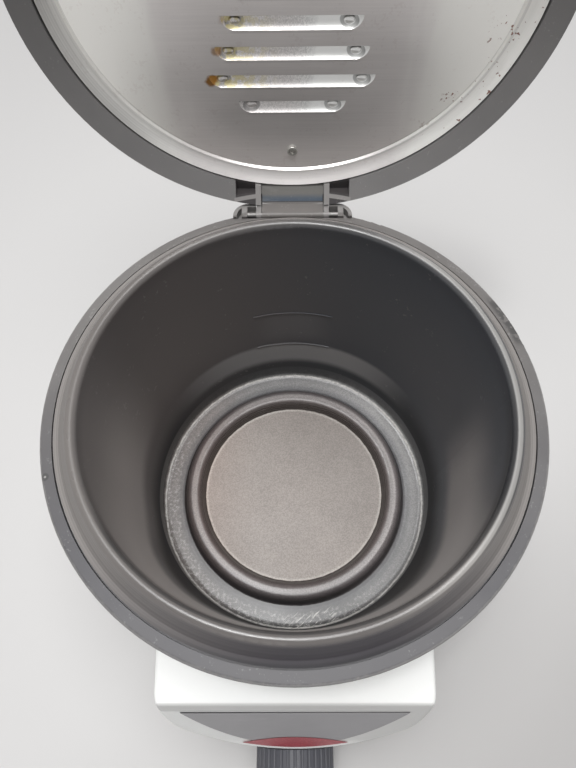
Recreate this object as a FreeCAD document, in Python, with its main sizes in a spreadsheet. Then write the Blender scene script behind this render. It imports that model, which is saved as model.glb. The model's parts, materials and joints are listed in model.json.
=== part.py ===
import FreeCAD
import Part
import Sketcher
import math
import os

# Round countertop deep fryer: housing with a fixed coated bowl, a hinged lid and a thermostat knob.
# Frame: +Z up, Z = 0 on the table, the bowl's axis is the Z axis, the control housing faces -Y.
# Millimetres. The lid is modelled shut and then swung open about its hinge, which is its rest pose.

sizeValues = {
    # collar and shell
    "rimHeight": 190.0,          # table to the collar's outer edge
    "rimRadius": 120.0,
    "bandWidth": 6.0,            # flat band round the collar
    "bandRise": 0.8,             # how much the band climbs inwards
    "bandEdge": 1.6,
    "collarSkirt": 14.0,
    "collarWall": 2.6,
    "ledgeWidth": 7.4,           # ledge that carries the bowl
    "sealThick": 1.6,
    "sealWidth": 3.2,
    "seatGap": 0.3,              # clearance where one piece sits in or on another
    "shellInset": 3.2,           # shell inside the collar's outer face
    "shellTaper": 3.8,
    "shellWall": 2.6,
    "shellBottom": 4.0,          # the shell's lower edge above the table
    # control housing
    "podHalfWidth": 70.2,
    "podReach": 36.2,            # how far the front wall stands out from the drum
    "slopeRun": 23.4,            # slanted face, front to back
    "slopeFall": 48.0,           # slanted face, top to bottom
    "podCreaseHeight": 118.0,
    "podTopRise": 4.0,
    "podCorner": 20.0,
    "podEdge": 2.2,
    "panelMargin": 3.4,          # crease to the panel's upper edge, seen from above
    "panelBorder": 2.6,          # panel's lower edge to the front wall, seen from above
    "panelArc": 105.7,
    "panelHalfWidth": 57.6,
    "panelThick": 1.2,
    "panelProud": 0.3,
    "windowHalfWidth": 28.2,
    "windowBorder": 1.3,
    "windowRise": 6.9,           # front wall to the window's upper arc, seen from above
    "windowArc": 134.5,
    "windowThick": 2.2,
    "windowProud": 0.5,
    "lampRadius": 3.0,
    "lampLength": 16.0,
    "lampPlace": 42.0,           # down the slope, from the crease
    # bowl
    "bowlWall": 1.8,
    "flangeWidth": 9.8,
    "bowlRimRise": 16.6,         # where wall and flange would meet, above the collar's edge
    "bowlBead": 3.0,
    "bowlTaper": 10.0,
    "bowlFloor": 40.4,
    "bowlCorner": 4.0,
    "flangeRise": 2.3,
    "lipGap": 0.9,
    "lipWidth": 2.7,
    "lipRise": 1.5,
    "ringInnerRadius": 61.6,     # raised ring in the floor, over the element
    "ringWidth": 14.2,
    "ringHeight": 8.2,
    "ringShoulder": 2.6,
    "ringRound": 4.2,
    "ringFoot": 1.2,
    "lowLineHeight": 44.2,       # fill lines above the bowl's floor
    "highLineHeight": 80.4,
    "lineAngle": 31.0,
    "lineWidth": 1.0,
    "lineProud": 0.5,
    # heating
    "elementMargin": 6.3,        # the ring's two walls and the room beside the element
    "elementGapAngle": 34.0,
    "elementLegDrop": 18.0,
    "terminalWidth": 6.3,
    "terminalThick": 0.8,
    "terminalLength": 9.0,
    "spreaderRadius": 80.0,
    "spreaderThick": 3.0,
    "rodRadius": 3.0,
    "nutFlats": 10.0,
    "nutHeight": 5.0,
    "shieldMargin": 2.0,
    "shieldThick": 0.6,
    "shieldBottom": 34.0,
    "cutoutRadius": 8.0,
    "cutoutHeight": 8.0,
    "cutoutFlange": 12.0,
    "cutoutDepth": 38.0,
    "bulbRadius": 2.5,
    "bulbLength": 46.0,
    "bulbOffset": 34.0,
    "capillaryRadius": 1.0,
    # thermostat and knob
    "knobHeight": 42.0,
    "knobRadius": 22.4,
    "knobLength": 16.0,
    "knobStandOff": 1.0,
    "knobEdge": 4.6,
    "knobWall": 2.4,
    "knobSkirtDepth": 7.0,
    "knobFlute": 1.0,
    "spindleRadius": 3.0,
    "spindleEnd": 14.0,          # spindle's tip, from the knob's back
    "spindleDepth": 10.0,        # how far the spindle runs into the thermostat
    "fitGap": 0.05,              # running clearance round spindle and pins
    "thermostatWidth": 40.0,
    "thermostatHeight": 30.0,
    "thermostatDepth": 24.0,
    "bushRadius": 5.0,
    "bushNutFlats": 14.0,
    "bushNutHeight": 2.5,
    "pointerLength": 13.0,
    "pointerWidth": 1.8,
    "pointerDepth": 0.8,
    "pointerProud": 0.3,
    # base
    "baseThick": 3.0,
    "footRadius": 9.0,
    "footDraft": 1.0,
    "footEdge": 0.8,
    "footStub": 3.0,
    "footInset": 22.5,           # rear feet inside the drum's base
    "footMargin": 16.2,          # front feet inside the housing's walls
    "screwInset": 8.5,
    "screwRadius": 1.9,
    "screwHeadRadius": 3.6,
    "screwHeadHeight": 2.0,
    "screwLength": 12.0,
    "bossRadius": 6.8,
    "bossHeight": 24.0,
    "ventLength": 44.0,
    "ventWidth": 4.0,
    "ventPitch": 9.0,
    "ventPlace": 26.0,
    "centreBossRadius": 9.0,
    "centreBossHeight": 18.0,
    "counterboreRadius": 6.6,
    "counterboreDepth": 6.4,
    "inletHeight": 22.0,
    "inletRadius": 5.6,
    "inletBore": 3.6,
    "inletFlange": 8.4,
    "inletFlangeThick": 2.4,
    "blockWidth": 34.0,
    "blockDepth": 16.0,
    "blockHeight": 14.0,
    "blockPlace": 74.0,
    # hinge
    "hingeBehind": 1.7,          # hinge axis behind the lid's edge
    "pinRadius": 1.8,
    "pinInner": 12.0,
    "pinOuter": 28.0,
    "tongueHalfWidth": 20.2,
    "tongueThick": 4.4,
    "tongueRib": 2.8,
    "tongueGroove": 0.5,
    "tongueGrooveDepth": 0.8,
    "bandSink": 2.0,             # lid's edge band over the tongue, set in
    "bandPocketTop": 12.0,       # pockets beside the tongue, above the collar's edge
    "bandPocketWall": 2.2,
    "pocketHalfWidth": 31.0,
    "pocketFloor": 2.8,          # below the collar's edge
    "earWall": 2.0,
    "earBehind": 6.1,
    "earRise": 2.2,
    "earCorner": 8.0,
    "pocketCorner": 6.0,
    "lugInner": 25.2,
    "lidOpenAngle": 92.89,
    # lid, shut
    "lidInset": 5.4,             # lid's edge inside the collar's outer face
    "lidEdgeRise": 4.2,          # lid's lower edge above the collar's edge
    "plateInset": 8.7,
    "plateEdgeRise": 12.3,
    "plateGap": 0.9,
    "plateThick": 0.8,
    "plateBandWidth": 6.5,       # dished band from the plate's edge to the step
    "plateBandRise": 1.1,
    "plateDishRise": 2.9,
    "plateDishRound": 9.0,
    "plateStepRise": 4.1,
    "plateSlope": 7.2,
    "plateFlatRise": 17.6,
    "frameLip": 9.0,
    "frameWall": 2.2,
    "frameWebRise": 23.0,        # web that carries the filters
    "frameOpening": 46.0,
    "coverWall": 2.4,
    "coverShoulder": 34.0,
    "coverShoulderRound": 14.0,
    "coverCrown": 45.5,          # lid's top above the collar's edge
    "coverCrownRadius": 84.0,
    "coverCrownRound": 20.0,
    "coverFall": 2.0,            # how much the top falls from the vent to the shoulder
    "ventSeat": 3.0,
    "postDrop": 5.0,
    "tabHalfWidth": 24.0,
    "tabReach": 9.0,
    "tabThick": 6.0,
    "ventCoverRadius": 54.0,
    "ventSlotLength": 60.0,
    "ventSlotWidth": 3.0,
    "ventSlotPitch": 8.0,
    "louvreWidth": 6.3,
    "louvreDepth": 3.0,
    "plateScrewInset": 11.8,
    "plateScrewRadius": 1.5,
    "plateScrewLength": 14.0,
    "plateScrewHead": 2.8,
    "plateScrewHeadHeight": 1.4,
    "plateBossRadius": 4.0,
    "filterRadius": 50.0,
    "greaseFilterThick": 6.0,
    "carbonFilterThick": 7.0,
}

# rows of louvres in the lid's plate: edge towards the hinge, length
louvreRows = [(63.9, 52.0), (50.2, 78.0), (36.5, 70.0), (22.8, 62.0), (9.1, 56.0),
              (-4.6, 56.0), (-18.3, 62.0), (-32.0, 70.0), (-45.7, 78.0), (-59.4, 52.0)]
for index, (place, length) in enumerate(louvreRows):
    sizeValues["louvrePlace" + str(index)] = place
    sizeValues["louvreLength" + str(index)] = length

doc = FreeCAD.newDocument("deep_fryer")
sheet = doc.addObject("Spreadsheet::Sheet", "sizes")


class Size:
    # a length and the spreadsheet expression that gives it, so that one sum makes both

    def __init__(self, value, text):
        self.value = value
        self.text = text

    def __add__(self, other):
        return joinSizes(self, "+", other)

    def __radd__(self, other):
        return joinSizes(other, "+", self)

    def __sub__(self, other):
        return joinSizes(self, "-", other)

    def __rsub__(self, other):
        return joinSizes(other, "-", self)

    def __mul__(self, other):
        return joinSizes(self, "*", other)

    def __rmul__(self, other):
        return joinSizes(other, "*", self)

    def __truediv__(self, other):
        return joinSizes(self, "/", other)

    def __neg__(self):
        return Size(-self.value, "(0 - " + self.text + ")")


def asSize(number):
    if isinstance(number, Size):
        return number
    if number < 0:
        return Size(number, "(0 - " + repr(-number) + ")")
    return Size(number, repr(number))


def joinSizes(left, sign, right):
    a = asSize(left)
    b = asSize(right)
    results = {"+": a.value + b.value, "-": a.value - b.value, "*": a.value * b.value}
    value = a.value / b.value if sign == "/" else results[sign]
    return Size(value, "(" + a.text + " " + sign + " " + b.text + ")")


def sideOf(hypotenuse, leg):
    # the other leg of a right-angled triangle
    value = math.sqrt(hypotenuse.value ** 2 - asSize(leg).value ** 2)
    return Size(value, "sqrt(" + hypotenuse.text + "^2 - " + asSize(leg).text + "^2)")


class Dimensions:
    # the sheet's sizes, and below them the radii that follow from one another
    pass


dim = Dimensions()
for row, (alias, value) in enumerate(sizeValues.items(), start=1):
    sheet.set("A" + str(row), alias)
    sheet.set("B" + str(row), str(value))
    sheet.setAlias("B" + str(row), alias)
    setattr(dim, alias, Size(value, "sizes." + alias))
doc.recompute()


# ---- drawing helpers ----

def bind(thing, propertyName, size):
    thing.setExpression(propertyName, asSize(size).text)


def newBody(label):
    body = doc.addObject("PartDesign::Body", label)
    body.Label = label
    return body


def planeOf(body, role):
    for feature in body.Origin.OriginFeatures:
        if feature.Role == role:
            return feature


def sketchOn(body, role, name, offset=None):
    sketch = body.newObject("Sketcher::SketchObject", body.Label + "_" + name)
    sketch.AttachmentSupport = (planeOf(body, role), [""])
    sketch.MapMode = "FlatFace"
    if offset is not None:
        bind(sketch, "AttachmentOffset.Base.z", offset)
    return sketch


def holdPoint(sketch, geometry, position, x, y):
    # ties one sketch point to its two coordinates
    for kind, axis, coordinate in (("DistanceX", -2, x), ("DistanceY", -1, y)):
        size = asSize(coordinate)
        if size.value == 0:
            sketch.addConstraint(Sketcher.Constraint("PointOnObject", geometry, position, axis))
        else:
            index = sketch.addConstraint(Sketcher.Constraint(kind, geometry, position, size.value))
            bind(sketch, "Constraints[" + str(index) + "]", size)


def cornerArc(before, corner, after, radius):
    # where a round corner leaves its two edges, and the middle of its arc
    toBefore = (before - corner).normalize()
    toAfter = (after - corner).normalize()
    half = toBefore.getAngle(toAfter) / 2
    start = corner + toBefore * (radius / math.tan(half))
    end = corner + toAfter * (radius / math.tan(half))
    bisector = (toBefore + toAfter).normalize()
    middle = corner + bisector * (radius / math.sin(half) - radius)
    return start, middle, end


def drawOutline(sketch, corners):
    # a closed outline of straight edges; a corner with a third value is rounded to that radius
    points = [FreeCAD.Vector(asSize(c[0]).value, asSize(c[1]).value, 0) for c in corners]
    count = len(corners)
    rounds = []
    for i, corner in enumerate(corners):
        if len(corner) == 3:
            rounds.append(cornerArc(points[i - 1], points[i], points[(i + 1) % count], corner[2].value))
        else:
            rounds.append(None)
    lines = []
    for i in range(count):
        following = (i + 1) % count
        start = rounds[i][2] if rounds[i] else points[i]
        end = rounds[following][0] if rounds[following] else points[following]
        lines.append(sketch.addGeometry(Part.LineSegment(start, end), False))
    for i, corner in enumerate(corners):
        if rounds[i]:
            start, middle, end = rounds[i]
            arc = Part.Arc(start, middle, end)
            arcIndex = sketch.addGeometry(arc, False)
            turn = (points[i] - points[i - 1]).cross(points[(i + 1) % count] - points[i]).z
            first, last = (1, 2) if turn > 0 else (2, 1)
            vertex = sketch.addGeometry(Part.Point(points[i]), True)
            sketch.addConstraint([
                Sketcher.Constraint("Tangent", lines[i - 1], 2, arcIndex, first),
                Sketcher.Constraint("Tangent", arcIndex, last, lines[i], 1),
                Sketcher.Constraint("PointOnObject", vertex, 1, lines[i - 1]),
                Sketcher.Constraint("PointOnObject", vertex, 1, lines[i])])
            index = sketch.addConstraint(Sketcher.Constraint("Radius", arcIndex, corner[2].value))
            bind(sketch, "Constraints[" + str(index) + "]", corner[2])
            holdPoint(sketch, vertex, 1, corner[0], corner[1])
        else:
            sketch.addConstraint(Sketcher.Constraint("Coincident", lines[i - 1], 2, lines[i], 1))
            holdPoint(sketch, lines[i], 1, corner[0], corner[1])


def drawCircle(sketch, x, y, radius):
    centre = FreeCAD.Vector(asSize(x).value, asSize(y).value, 0)
    circle = sketch.addGeometry(Part.Circle(centre, FreeCAD.Vector(0, 0, 1), asSize(radius).value), False)
    index = sketch.addConstraint(Sketcher.Constraint("Radius", circle, asSize(radius).value))
    bind(sketch, "Constraints[" + str(index) + "]", radius)
    holdPoint(sketch, circle, 3, x, y)


def drawBox(sketch, x0, y0, x1, y1):
    drawOutline(sketch, [(x0, y0), (x1, y0), (x1, y1), (x0, y1)])


def turned(body, name, corners, kind="PartDesign::Revolution", angle=360):
    # an outline in radius and height, turned about the Z axis
    sketch = sketchOn(body, "XZ_Plane", name + "Outline")
    drawOutline(sketch, corners)
    feature = body.newObject(kind, body.Label + "_" + name)
    feature.Profile = sketch
    feature.ReferenceAxis = (sketch, ["V_Axis"])
    bind(feature, "Angle", angle)
    return feature


def raised(body, name, role, draw, length, offset=None, symmetric=False, reverse=False):
    # a pad of what draw puts into the sketch
    sketch = sketchOn(body, role, name + "Outline", offset)
    draw(sketch)
    feature = body.newObject("PartDesign::Pad", body.Label + "_" + name)
    feature.Profile = sketch
    bind(feature, "Length", length)
    feature.SideType = "Symmetric" if symmetric else "One side"
    feature.Reversed = reverse
    return feature


def sunk(body, name, role, draw, length, offset=None, symmetric=False, reverse=False):
    # a pocket; an unreversed pocket cuts against the plane's normal
    sketch = sketchOn(body, role, name + "Outline", offset)
    draw(sketch)
    feature = body.newObject("PartDesign::Pocket", body.Label + "_" + name)
    feature.Profile = sketch
    bind(feature, "Length", length)
    feature.SideType = "Symmetric" if symmetric else "One side"
    feature.Reversed = reverse
    return feature


def repeated(body, name, feature, count):
    # copies of one feature evenly round the Z axis
    pattern = body.newObject("PartDesign::PolarPattern", body.Label + "_" + name)
    pattern.Originals = [feature]
    pattern.Axis = (feature.Profile[0], ["N_Axis"])
    pattern.Angle = 360
    pattern.Occurrences = count
    body.Tip = pattern
    return pattern


def rounded(body, name, radius, test):
    # a fillet on the edges of the body so far that pass the test
    doc.recompute()
    base = body.Tip
    names = ["Edge" + str(i + 1) for i, edge in enumerate(base.Shape.Edges) if test(edge)]
    fillet = body.newObject("PartDesign::Fillet", body.Label + "_" + name)
    fillet.Base = (base, names)
    bind(fillet, "Radius", radius)
    return fillet


def polarPoint(radius, angle):
    # angle in degrees from +X towards +Y
    return (radius * math.cos(math.radians(angle)), radius * math.sin(math.radians(angle)))


def hypotenuse(a, b):
    value = math.hypot(a.value, b.value)
    return Size(value, "sqrt(" + a.text + "^2 + " + b.text + "^2)")


def placeBody(body, x, y, z, turnAxis=None, turnAngle=0):
    # moves a body that is drawn about its own axis to its place
    if turnAxis:
        turn = FreeCAD.Rotation(FreeCAD.Vector(*turnAxis), turnAngle)
        body.Placement = FreeCAD.Placement(FreeCAD.Vector(0, 0, 0), turn)
    for letter, coordinate in (("x", x), ("y", y), ("z", z)):
        bind(body, "Placement.Base." + letter, coordinate)


def hexagon(sketch, flats, x=0, y=0):
    radius = flats / math.sqrt(3)
    corners = []
    for step in range(6):
        across, along = polarPoint(radius, 60 * step + 30)
        corners.append((across + x, along + y))
    drawOutline(sketch, corners)


# ---- radii and heights that follow from the sizes and that several pieces share ----

dim.shellTopRadius = dim.rimRadius - dim.shellInset
dim.shellBaseRadius = dim.shellTopRadius - dim.shellTaper
dim.podFrontRadius = dim.shellTopRadius + dim.podReach
dim.podCreaseDepth = dim.podFrontRadius - dim.slopeRun
dim.podSlopeBottom = dim.podCreaseHeight - dim.slopeFall
dim.panelStart = dim.podCreaseDepth + dim.panelMargin
dim.windowPeak = dim.podFrontRadius - dim.windowRise
dim.lidRadius = dim.rimRadius - dim.lidInset
dim.plateEdgeRadius = dim.lidRadius - dim.plateInset
dim.plateFlatRadius = dim.plateEdgeRadius - dim.plateSlope
dim.plateScrewPlace = dim.plateFlatRadius - dim.plateScrewInset
dim.screwPlace = dim.shellBaseRadius - dim.screwInset
dim.footCircle = dim.shellBaseRadius - dim.footInset
dim.footFrontX = dim.podHalfWidth - dim.footMargin
dim.ringOuterRadius = dim.ringInnerRadius + dim.ringWidth
dim.elementTube = dim.ringWidth - dim.elementMargin
dim.hingeDepth = dim.lidRadius + dim.hingeBehind
dim.earReach = dim.hingeDepth + dim.earBehind
rim = dim.rimHeight
ledge = rim + dim.lipRise - dim.bowlWall - dim.sealThick
collarUnder = ledge - dim.collarWall
shellTop = collarUnder - dim.seatGap
bandInner = dim.rimRadius - dim.bandWidth
dim.shieldRadius = bandInner - dim.ledgeWidth + dim.shieldMargin
dim.lipRadius = bandInner - dim.lipGap
dim.flangeRadius = dim.lipRadius - dim.lipWidth
dim.bowlRimRadius = dim.flangeRadius - dim.flangeWidth
dim.bowlBaseRadius = dim.bowlRimRadius - dim.bowlTaper
bowlUnder = dim.bowlFloor - dim.bowlWall
spreaderTop = bowlUnder - dim.seatGap
spreaderUnder = spreaderTop - dim.spreaderThick
elementRadius = (dim.ringInnerRadius + dim.ringOuterRadius) / 2
elementHeight = dim.bowlFloor + dim.ringHeight - dim.bowlWall - dim.seatGap - dim.elementTube / 2
baseTop = dim.shellBottom + dim.baseThick
podInner = dim.podFrontRadius - dim.shellWall
thermostatFront = sideOf(podInner, dim.thermostatWidth / 2) - dim.seatGap
knobBack = dim.podFrontRadius + dim.knobStandOff
slopeLength = hypotenuse(dim.slopeRun, dim.slopeFall)


def bowl():
    body = newBody("bowl")
    wall = dim.bowlWall
    floor = dim.bowlFloor
    ringTop = floor + dim.ringHeight
    turned(body, "wall", [
        (0, floor),
        (dim.ringInnerRadius, floor, dim.ringFoot),
        (dim.ringInnerRadius + dim.ringShoulder, ringTop, dim.ringRound),
        (dim.ringOuterRadius - dim.ringShoulder, ringTop, dim.ringRound),
        (dim.ringOuterRadius, floor, dim.ringFoot),
        (dim.bowlBaseRadius, floor, dim.bowlCorner),
        (dim.bowlRimRadius, rim + dim.bowlRimRise, dim.bowlBead),
        (dim.flangeRadius, rim + dim.flangeRise, dim.ringFoot),
        (dim.lipRadius, rim + dim.lipRise),
        (dim.lipRadius, rim + dim.lipRise - wall),
        (dim.flangeRadius - wall / 2, rim + dim.lipRise - wall),
        (dim.bowlRimRadius + wall, rim + dim.bowlRimRise - 5 * wall),
        (dim.bowlBaseRadius + wall, bowlUnder, dim.bowlCorner + wall),
        (dim.ringOuterRadius - wall * 0.7, bowlUnder),
        (dim.ringOuterRadius - dim.ringShoulder - wall * 0.8, ringTop - wall, dim.ringRound - wall),
        (dim.ringInnerRadius + dim.ringShoulder + wall * 0.8, ringTop - wall, dim.ringRound - wall),
        (dim.ringInnerRadius + wall * 0.7, bowlUnder),
        (0, bowlUnder)])
    for name, height in (("lowLine", dim.lowLineHeight), ("highLine", dim.highLineHeight)):
        fillLine(body, name, height)
    return body


def fillLine(body, name, height):
    # a fine embossed arc on the bowl's back wall
    draft = (dim.bowlRimRadius - dim.bowlBaseRadius) / (rim + dim.bowlRimRise - dim.bowlFloor)
    wallAt = dim.bowlBaseRadius + draft * height
    middle = dim.bowlFloor + height
    sketch = sketchOn(body, "YZ_Plane", name + "Outline")
    drawBox(sketch, wallAt - dim.lineProud, middle - dim.lineWidth / 2,
            wallAt + dim.bowlWall / 2, middle + dim.lineWidth / 2)
    arc = body.newObject("PartDesign::Revolution", body.Label + "_" + name)
    arc.Profile = sketch
    arc.ReferenceAxis = (sketch, ["V_Axis"])
    arc.Midplane = True
    bind(arc, "Angle", dim.lineAngle)


def bowlSeal():
    body = newBody("bowl_seal")
    outer = dim.lipRadius - dim.seatGap
    turned(body, "ring", [
        (outer - dim.sealWidth, ledge), (outer, ledge),
        (outer, ledge + dim.sealThick), (outer - dim.sealWidth, ledge + dim.sealThick)])
    return body


def collar():
    body = newBody("collar")
    skirtBottom = rim - dim.collarSkirt
    turned(body, "ring", [
        (dim.rimRadius, skirtBottom),
        (dim.rimRadius, rim, dim.bandEdge),
        (bandInner, rim + dim.bandRise),
        (bandInner, ledge),
        (bandInner - dim.ledgeWidth, ledge),
        (bandInner - dim.ledgeWidth, collarUnder),
        (dim.rimRadius - dim.collarWall, collarUnder),
        (dim.rimRadius - dim.collarWall, skirtBottom)])
    notch = dim.lipRadius + dim.seatGap
    outerHalf = dim.pocketHalfWidth + dim.earWall

    def housing(sketch):
        drawOutline(sketch, [
            (-outerHalf, notch), (outerHalf, notch),
            (outerHalf, dim.earReach, dim.earCorner), (-outerHalf, dim.earReach, dim.earCorner)])

    def pocket(sketch):
        drawOutline(sketch, [
            (-dim.pocketHalfWidth, notch), (dim.pocketHalfWidth, notch),
            (dim.pocketHalfWidth, dim.earReach - dim.earWall, dim.pocketCorner),
            (-dim.pocketHalfWidth, dim.earReach - dim.earWall, dim.pocketCorner)])

    def rearGap(sketch):
        half = dim.tongueHalfWidth + dim.seatGap
        drawBox(sketch, -half, notch, half, dim.earReach + dim.earWall)

    pocketBottom = rim - dim.pocketFloor
    earHeight = dim.pocketFloor + dim.earRise
    raised(body, "hingeHousing", "XY_Plane", housing, rim + dim.earRise - collarUnder, offset=collarUnder)
    sunk(body, "hingePocket", "XY_Plane", pocket, earHeight + dim.earRise, offset=pocketBottom, reverse=True)
    sunk(body, "rearGap", "XY_Plane", rearGap, earHeight + dim.earRise, offset=pocketBottom, reverse=True)

    def lugs(sketch):
        for side in (-1, 1):
            inner, outer = side * dim.lugInner, side * (dim.pinOuter + dim.seatGap)
            drawBox(sketch, inner, notch, outer, dim.earReach - dim.earWall / 2)

    def bore(sketch):
        drawCircle(sketch, dim.hingeDepth, rim, dim.pinRadius + dim.fitGap)

    raised(body, "lugs", "XY_Plane", lugs, earHeight, offset=pocketBottom)
    sunk(body, "pinBore", "YZ_Plane", bore, 2 * (dim.pinOuter + dim.fitGap), symmetric=True)
    return body


def ringTool(radius):
    # a ring sketch that trims away all that lies outside the radius
    def draw(sketch):
        drawCircle(sketch, 0, 0, radius)
        drawCircle(sketch, 0, 0, radius * 1.5)
    return draw


def slopePoint(down, out):
    # a point in the side view: down the slanted face from its crease, and out from it
    y = -(dim.podCreaseDepth + dim.slopeRun / slopeLength * down + dim.slopeFall / slopeLength * out)
    z = dim.podCreaseHeight - dim.slopeFall / slopeLength * down + dim.slopeRun / slopeLength * out
    return (y, z)


def shellForm(label, inset, extra):
    # the shell's drum and control housing as one solid, set in from the outer face
    body = newBody(label)
    lift = inset / 2
    bottom = dim.shellBottom - extra
    turned(body, "drum", [
        (0, bottom), (dim.shellBaseRadius - inset, bottom),
        (dim.shellTopRadius - inset, shellTop + extra), (0, shellTop + extra)])
    front = dim.podFrontRadius * 1.05
    slantTop = slopePoint(0, -inset)
    slantEnd = slopePoint(slopeLength * 1.5, -inset)

    def profile(sketch):
        drawOutline(sketch, [
            (-dim.shellBaseRadius / 2, bottom), (-front, bottom), slantEnd,
            (slantTop[0], slantTop[1] - lift),
            (-dim.shellBaseRadius / 2, dim.podCreaseHeight + 4 * dim.podTopRise - inset)])

    raised(body, "pod", "YZ_Plane", profile, 2 * (dim.podHalfWidth - inset), symmetric=True)
    sunk(body, "podFront", "XY_Plane", ringTool(dim.podFrontRadius - inset),
         3 * dim.podCreaseHeight, symmetric=True)
    corners = cornerTool(dim.podHalfWidth - inset, dim.podFrontRadius - inset, dim.podCorner - inset)
    sunk(body, "podCorners", "XY_Plane", corners, 3 * dim.podCreaseHeight, symmetric=True)
    return body


def cornerTool(half, front, radius):
    # what lies outside the control housing's rounded corners, where its sides meet its curved front
    across = half - radius
    along = sideOf(front - radius, across)
    sideEnd = (front * (front - radius) - half * across) / along
    middleEnd = front * (front - radius) / along

    def corners(sketch):
        for side in (-1, 1):
            drawOutline(sketch, [
                (side * half, -dim.shellTopRadius), (side * half, -sideEnd, radius),
                (side * radius / 2, -(middleEnd + (sideEnd - middleEnd) * radius / (half * 2))),
                (side * radius / 2, -front * 1.2), (side * half * 1.2, -front * 1.2),
                (side * half * 1.2, -dim.shellTopRadius)])

    return corners


def softenPod(body):
    # rounds the crease, the slanted face's border and the housing's top edges
    drum = dim.shellTopRadius.value
    middle = dim.podHalfWidth.value - 4 * dim.podEdge.value

    def podTopEdges(edge):
        ends = [vertex.Point for vertex in edge.Vertexes]
        ahead = all(point.y < -drum / 2 for point in ends)
        above = all(point.z > dim.podSlopeBottom.value - 1 for point in ends)
        onDrum = any(math.hypot(point.x, point.y) < drum - 1.0 for point in ends)
        crossing = edge.CenterOfMass.y > -drum
        return ahead and above and not onDrum and not (crossing and abs(edge.CenterOfMass.x) < middle)

    rounded(body, "podEdges", dim.podEdge, podTopEdges)


def panelForm(label, grow, inner, outer):
    # the panel's outline between two depths under the slanted face
    body = newBody(label)
    half = dim.panelHalfWidth + grow

    def outline(sketch):
        drawBox(sketch, -half, -dim.podFrontRadius, half, -(dim.panelStart - grow))

    def lowerArc(sketch):
        middle = -(dim.podFrontRadius - dim.panelBorder - dim.panelArc)
        drawCircle(sketch, 0, middle, dim.panelArc + grow)
        drawCircle(sketch, 0, middle, dim.panelArc * 1.6)

    raised(body, "slab", "XY_Plane", outline, dim.podCreaseHeight * 1.5)
    sunk(body, "lowerArc", "XY_Plane", lowerArc, dim.podCreaseHeight * 4, symmetric=True)
    cutToSlope(body, inner, outer)
    return body


def windowForm(label, grow, inner, outer):
    # the lens outline between two depths under the slanted face
    body = newBody(label)
    half = dim.windowHalfWidth + grow * 4

    def outline(sketch):
        drawBox(sketch, -half, -dim.podFrontRadius, half, -(dim.windowPeak - grow * 2))

    def upperArc(sketch):
        middle = -(dim.windowPeak + dim.windowArc)
        drawCircle(sketch, 0, middle, dim.windowArc + grow)
        drawCircle(sketch, 0, middle, dim.windowArc * 1.2)

    raised(body, "slab", "XY_Plane", outline, dim.podCreaseHeight * 1.5)
    front = ringTool(dim.podFrontRadius - dim.windowBorder + grow)
    sunk(body, "front", "XY_Plane", front, dim.podCreaseHeight * 4, symmetric=True)
    sunk(body, "upperArc", "XY_Plane", upperArc, dim.podCreaseHeight * 4, symmetric=True)
    cutToSlope(body, inner, outer)
    return body


def cutToSlope(body, inner, outer):
    # keeps what lies between two depths along the slanted face
    far = slopeLength * 3

    def outside(sketch):
        drawOutline(sketch, [slopePoint(-far, outer), slopePoint(far, outer),
                             slopePoint(far, outer + far), slopePoint(-far, outer + far)])

    def inside(sketch):
        drawOutline(sketch, [slopePoint(-far, inner), slopePoint(far, inner),
                             slopePoint(far, inner - far), slopePoint(-far, inner - far)])

    width = 4 * dim.podHalfWidth
    sunk(body, "outside", "YZ_Plane", outside, width, symmetric=True)
    sunk(body, "inside", "YZ_Plane", inside, width, symmetric=True)


def rodAlongY(label, radius, x, y, z, length):
    # a plain round rod that starts at y and runs towards the back
    rod = doc.addObject("Part::Cylinder", label)
    bind(rod, "Radius", radius)
    bind(rod, "Height", length)
    rod.Placement.Rotation = FreeCAD.Rotation(FreeCAD.Vector(1, 0, 0), -90)
    for letter, coordinate in (("x", x), ("y", y), ("z", z)):
        bind(rod, "Placement.Base." + letter, coordinate)
    return rod


def rodAlongZ(label, radius, x, y, z, length):
    rod = doc.addObject("Part::Cylinder", label)
    bind(rod, "Radius", radius)
    bind(rod, "Height", length)
    for letter, coordinate in (("x", x), ("y", y), ("z", z)):
        bind(rod, "Placement.Base." + letter, coordinate)
    return rod


def cutFrom(label, base, tools):
    # one shape less several others
    tool = joined(label + "_tools", tools) if len(tools) > 1 else tools[0]
    cut = doc.addObject("Part::Cut", label)
    cut.Base = base
    cut.Tool = tool
    cut.Label = label
    return cut


def joined(label, shapes):
    fuse = doc.addObject("Part::MultiFuse", label)
    fuse.Shapes = shapes
    fuse.Label = label
    return fuse


def shared(label, first, second):
    common = doc.addObject("Part::MultiCommon", label)
    common.Shapes = [first, second]
    common.Label = label
    return common


screwAngles = (45, 135, 225, 315)


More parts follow.
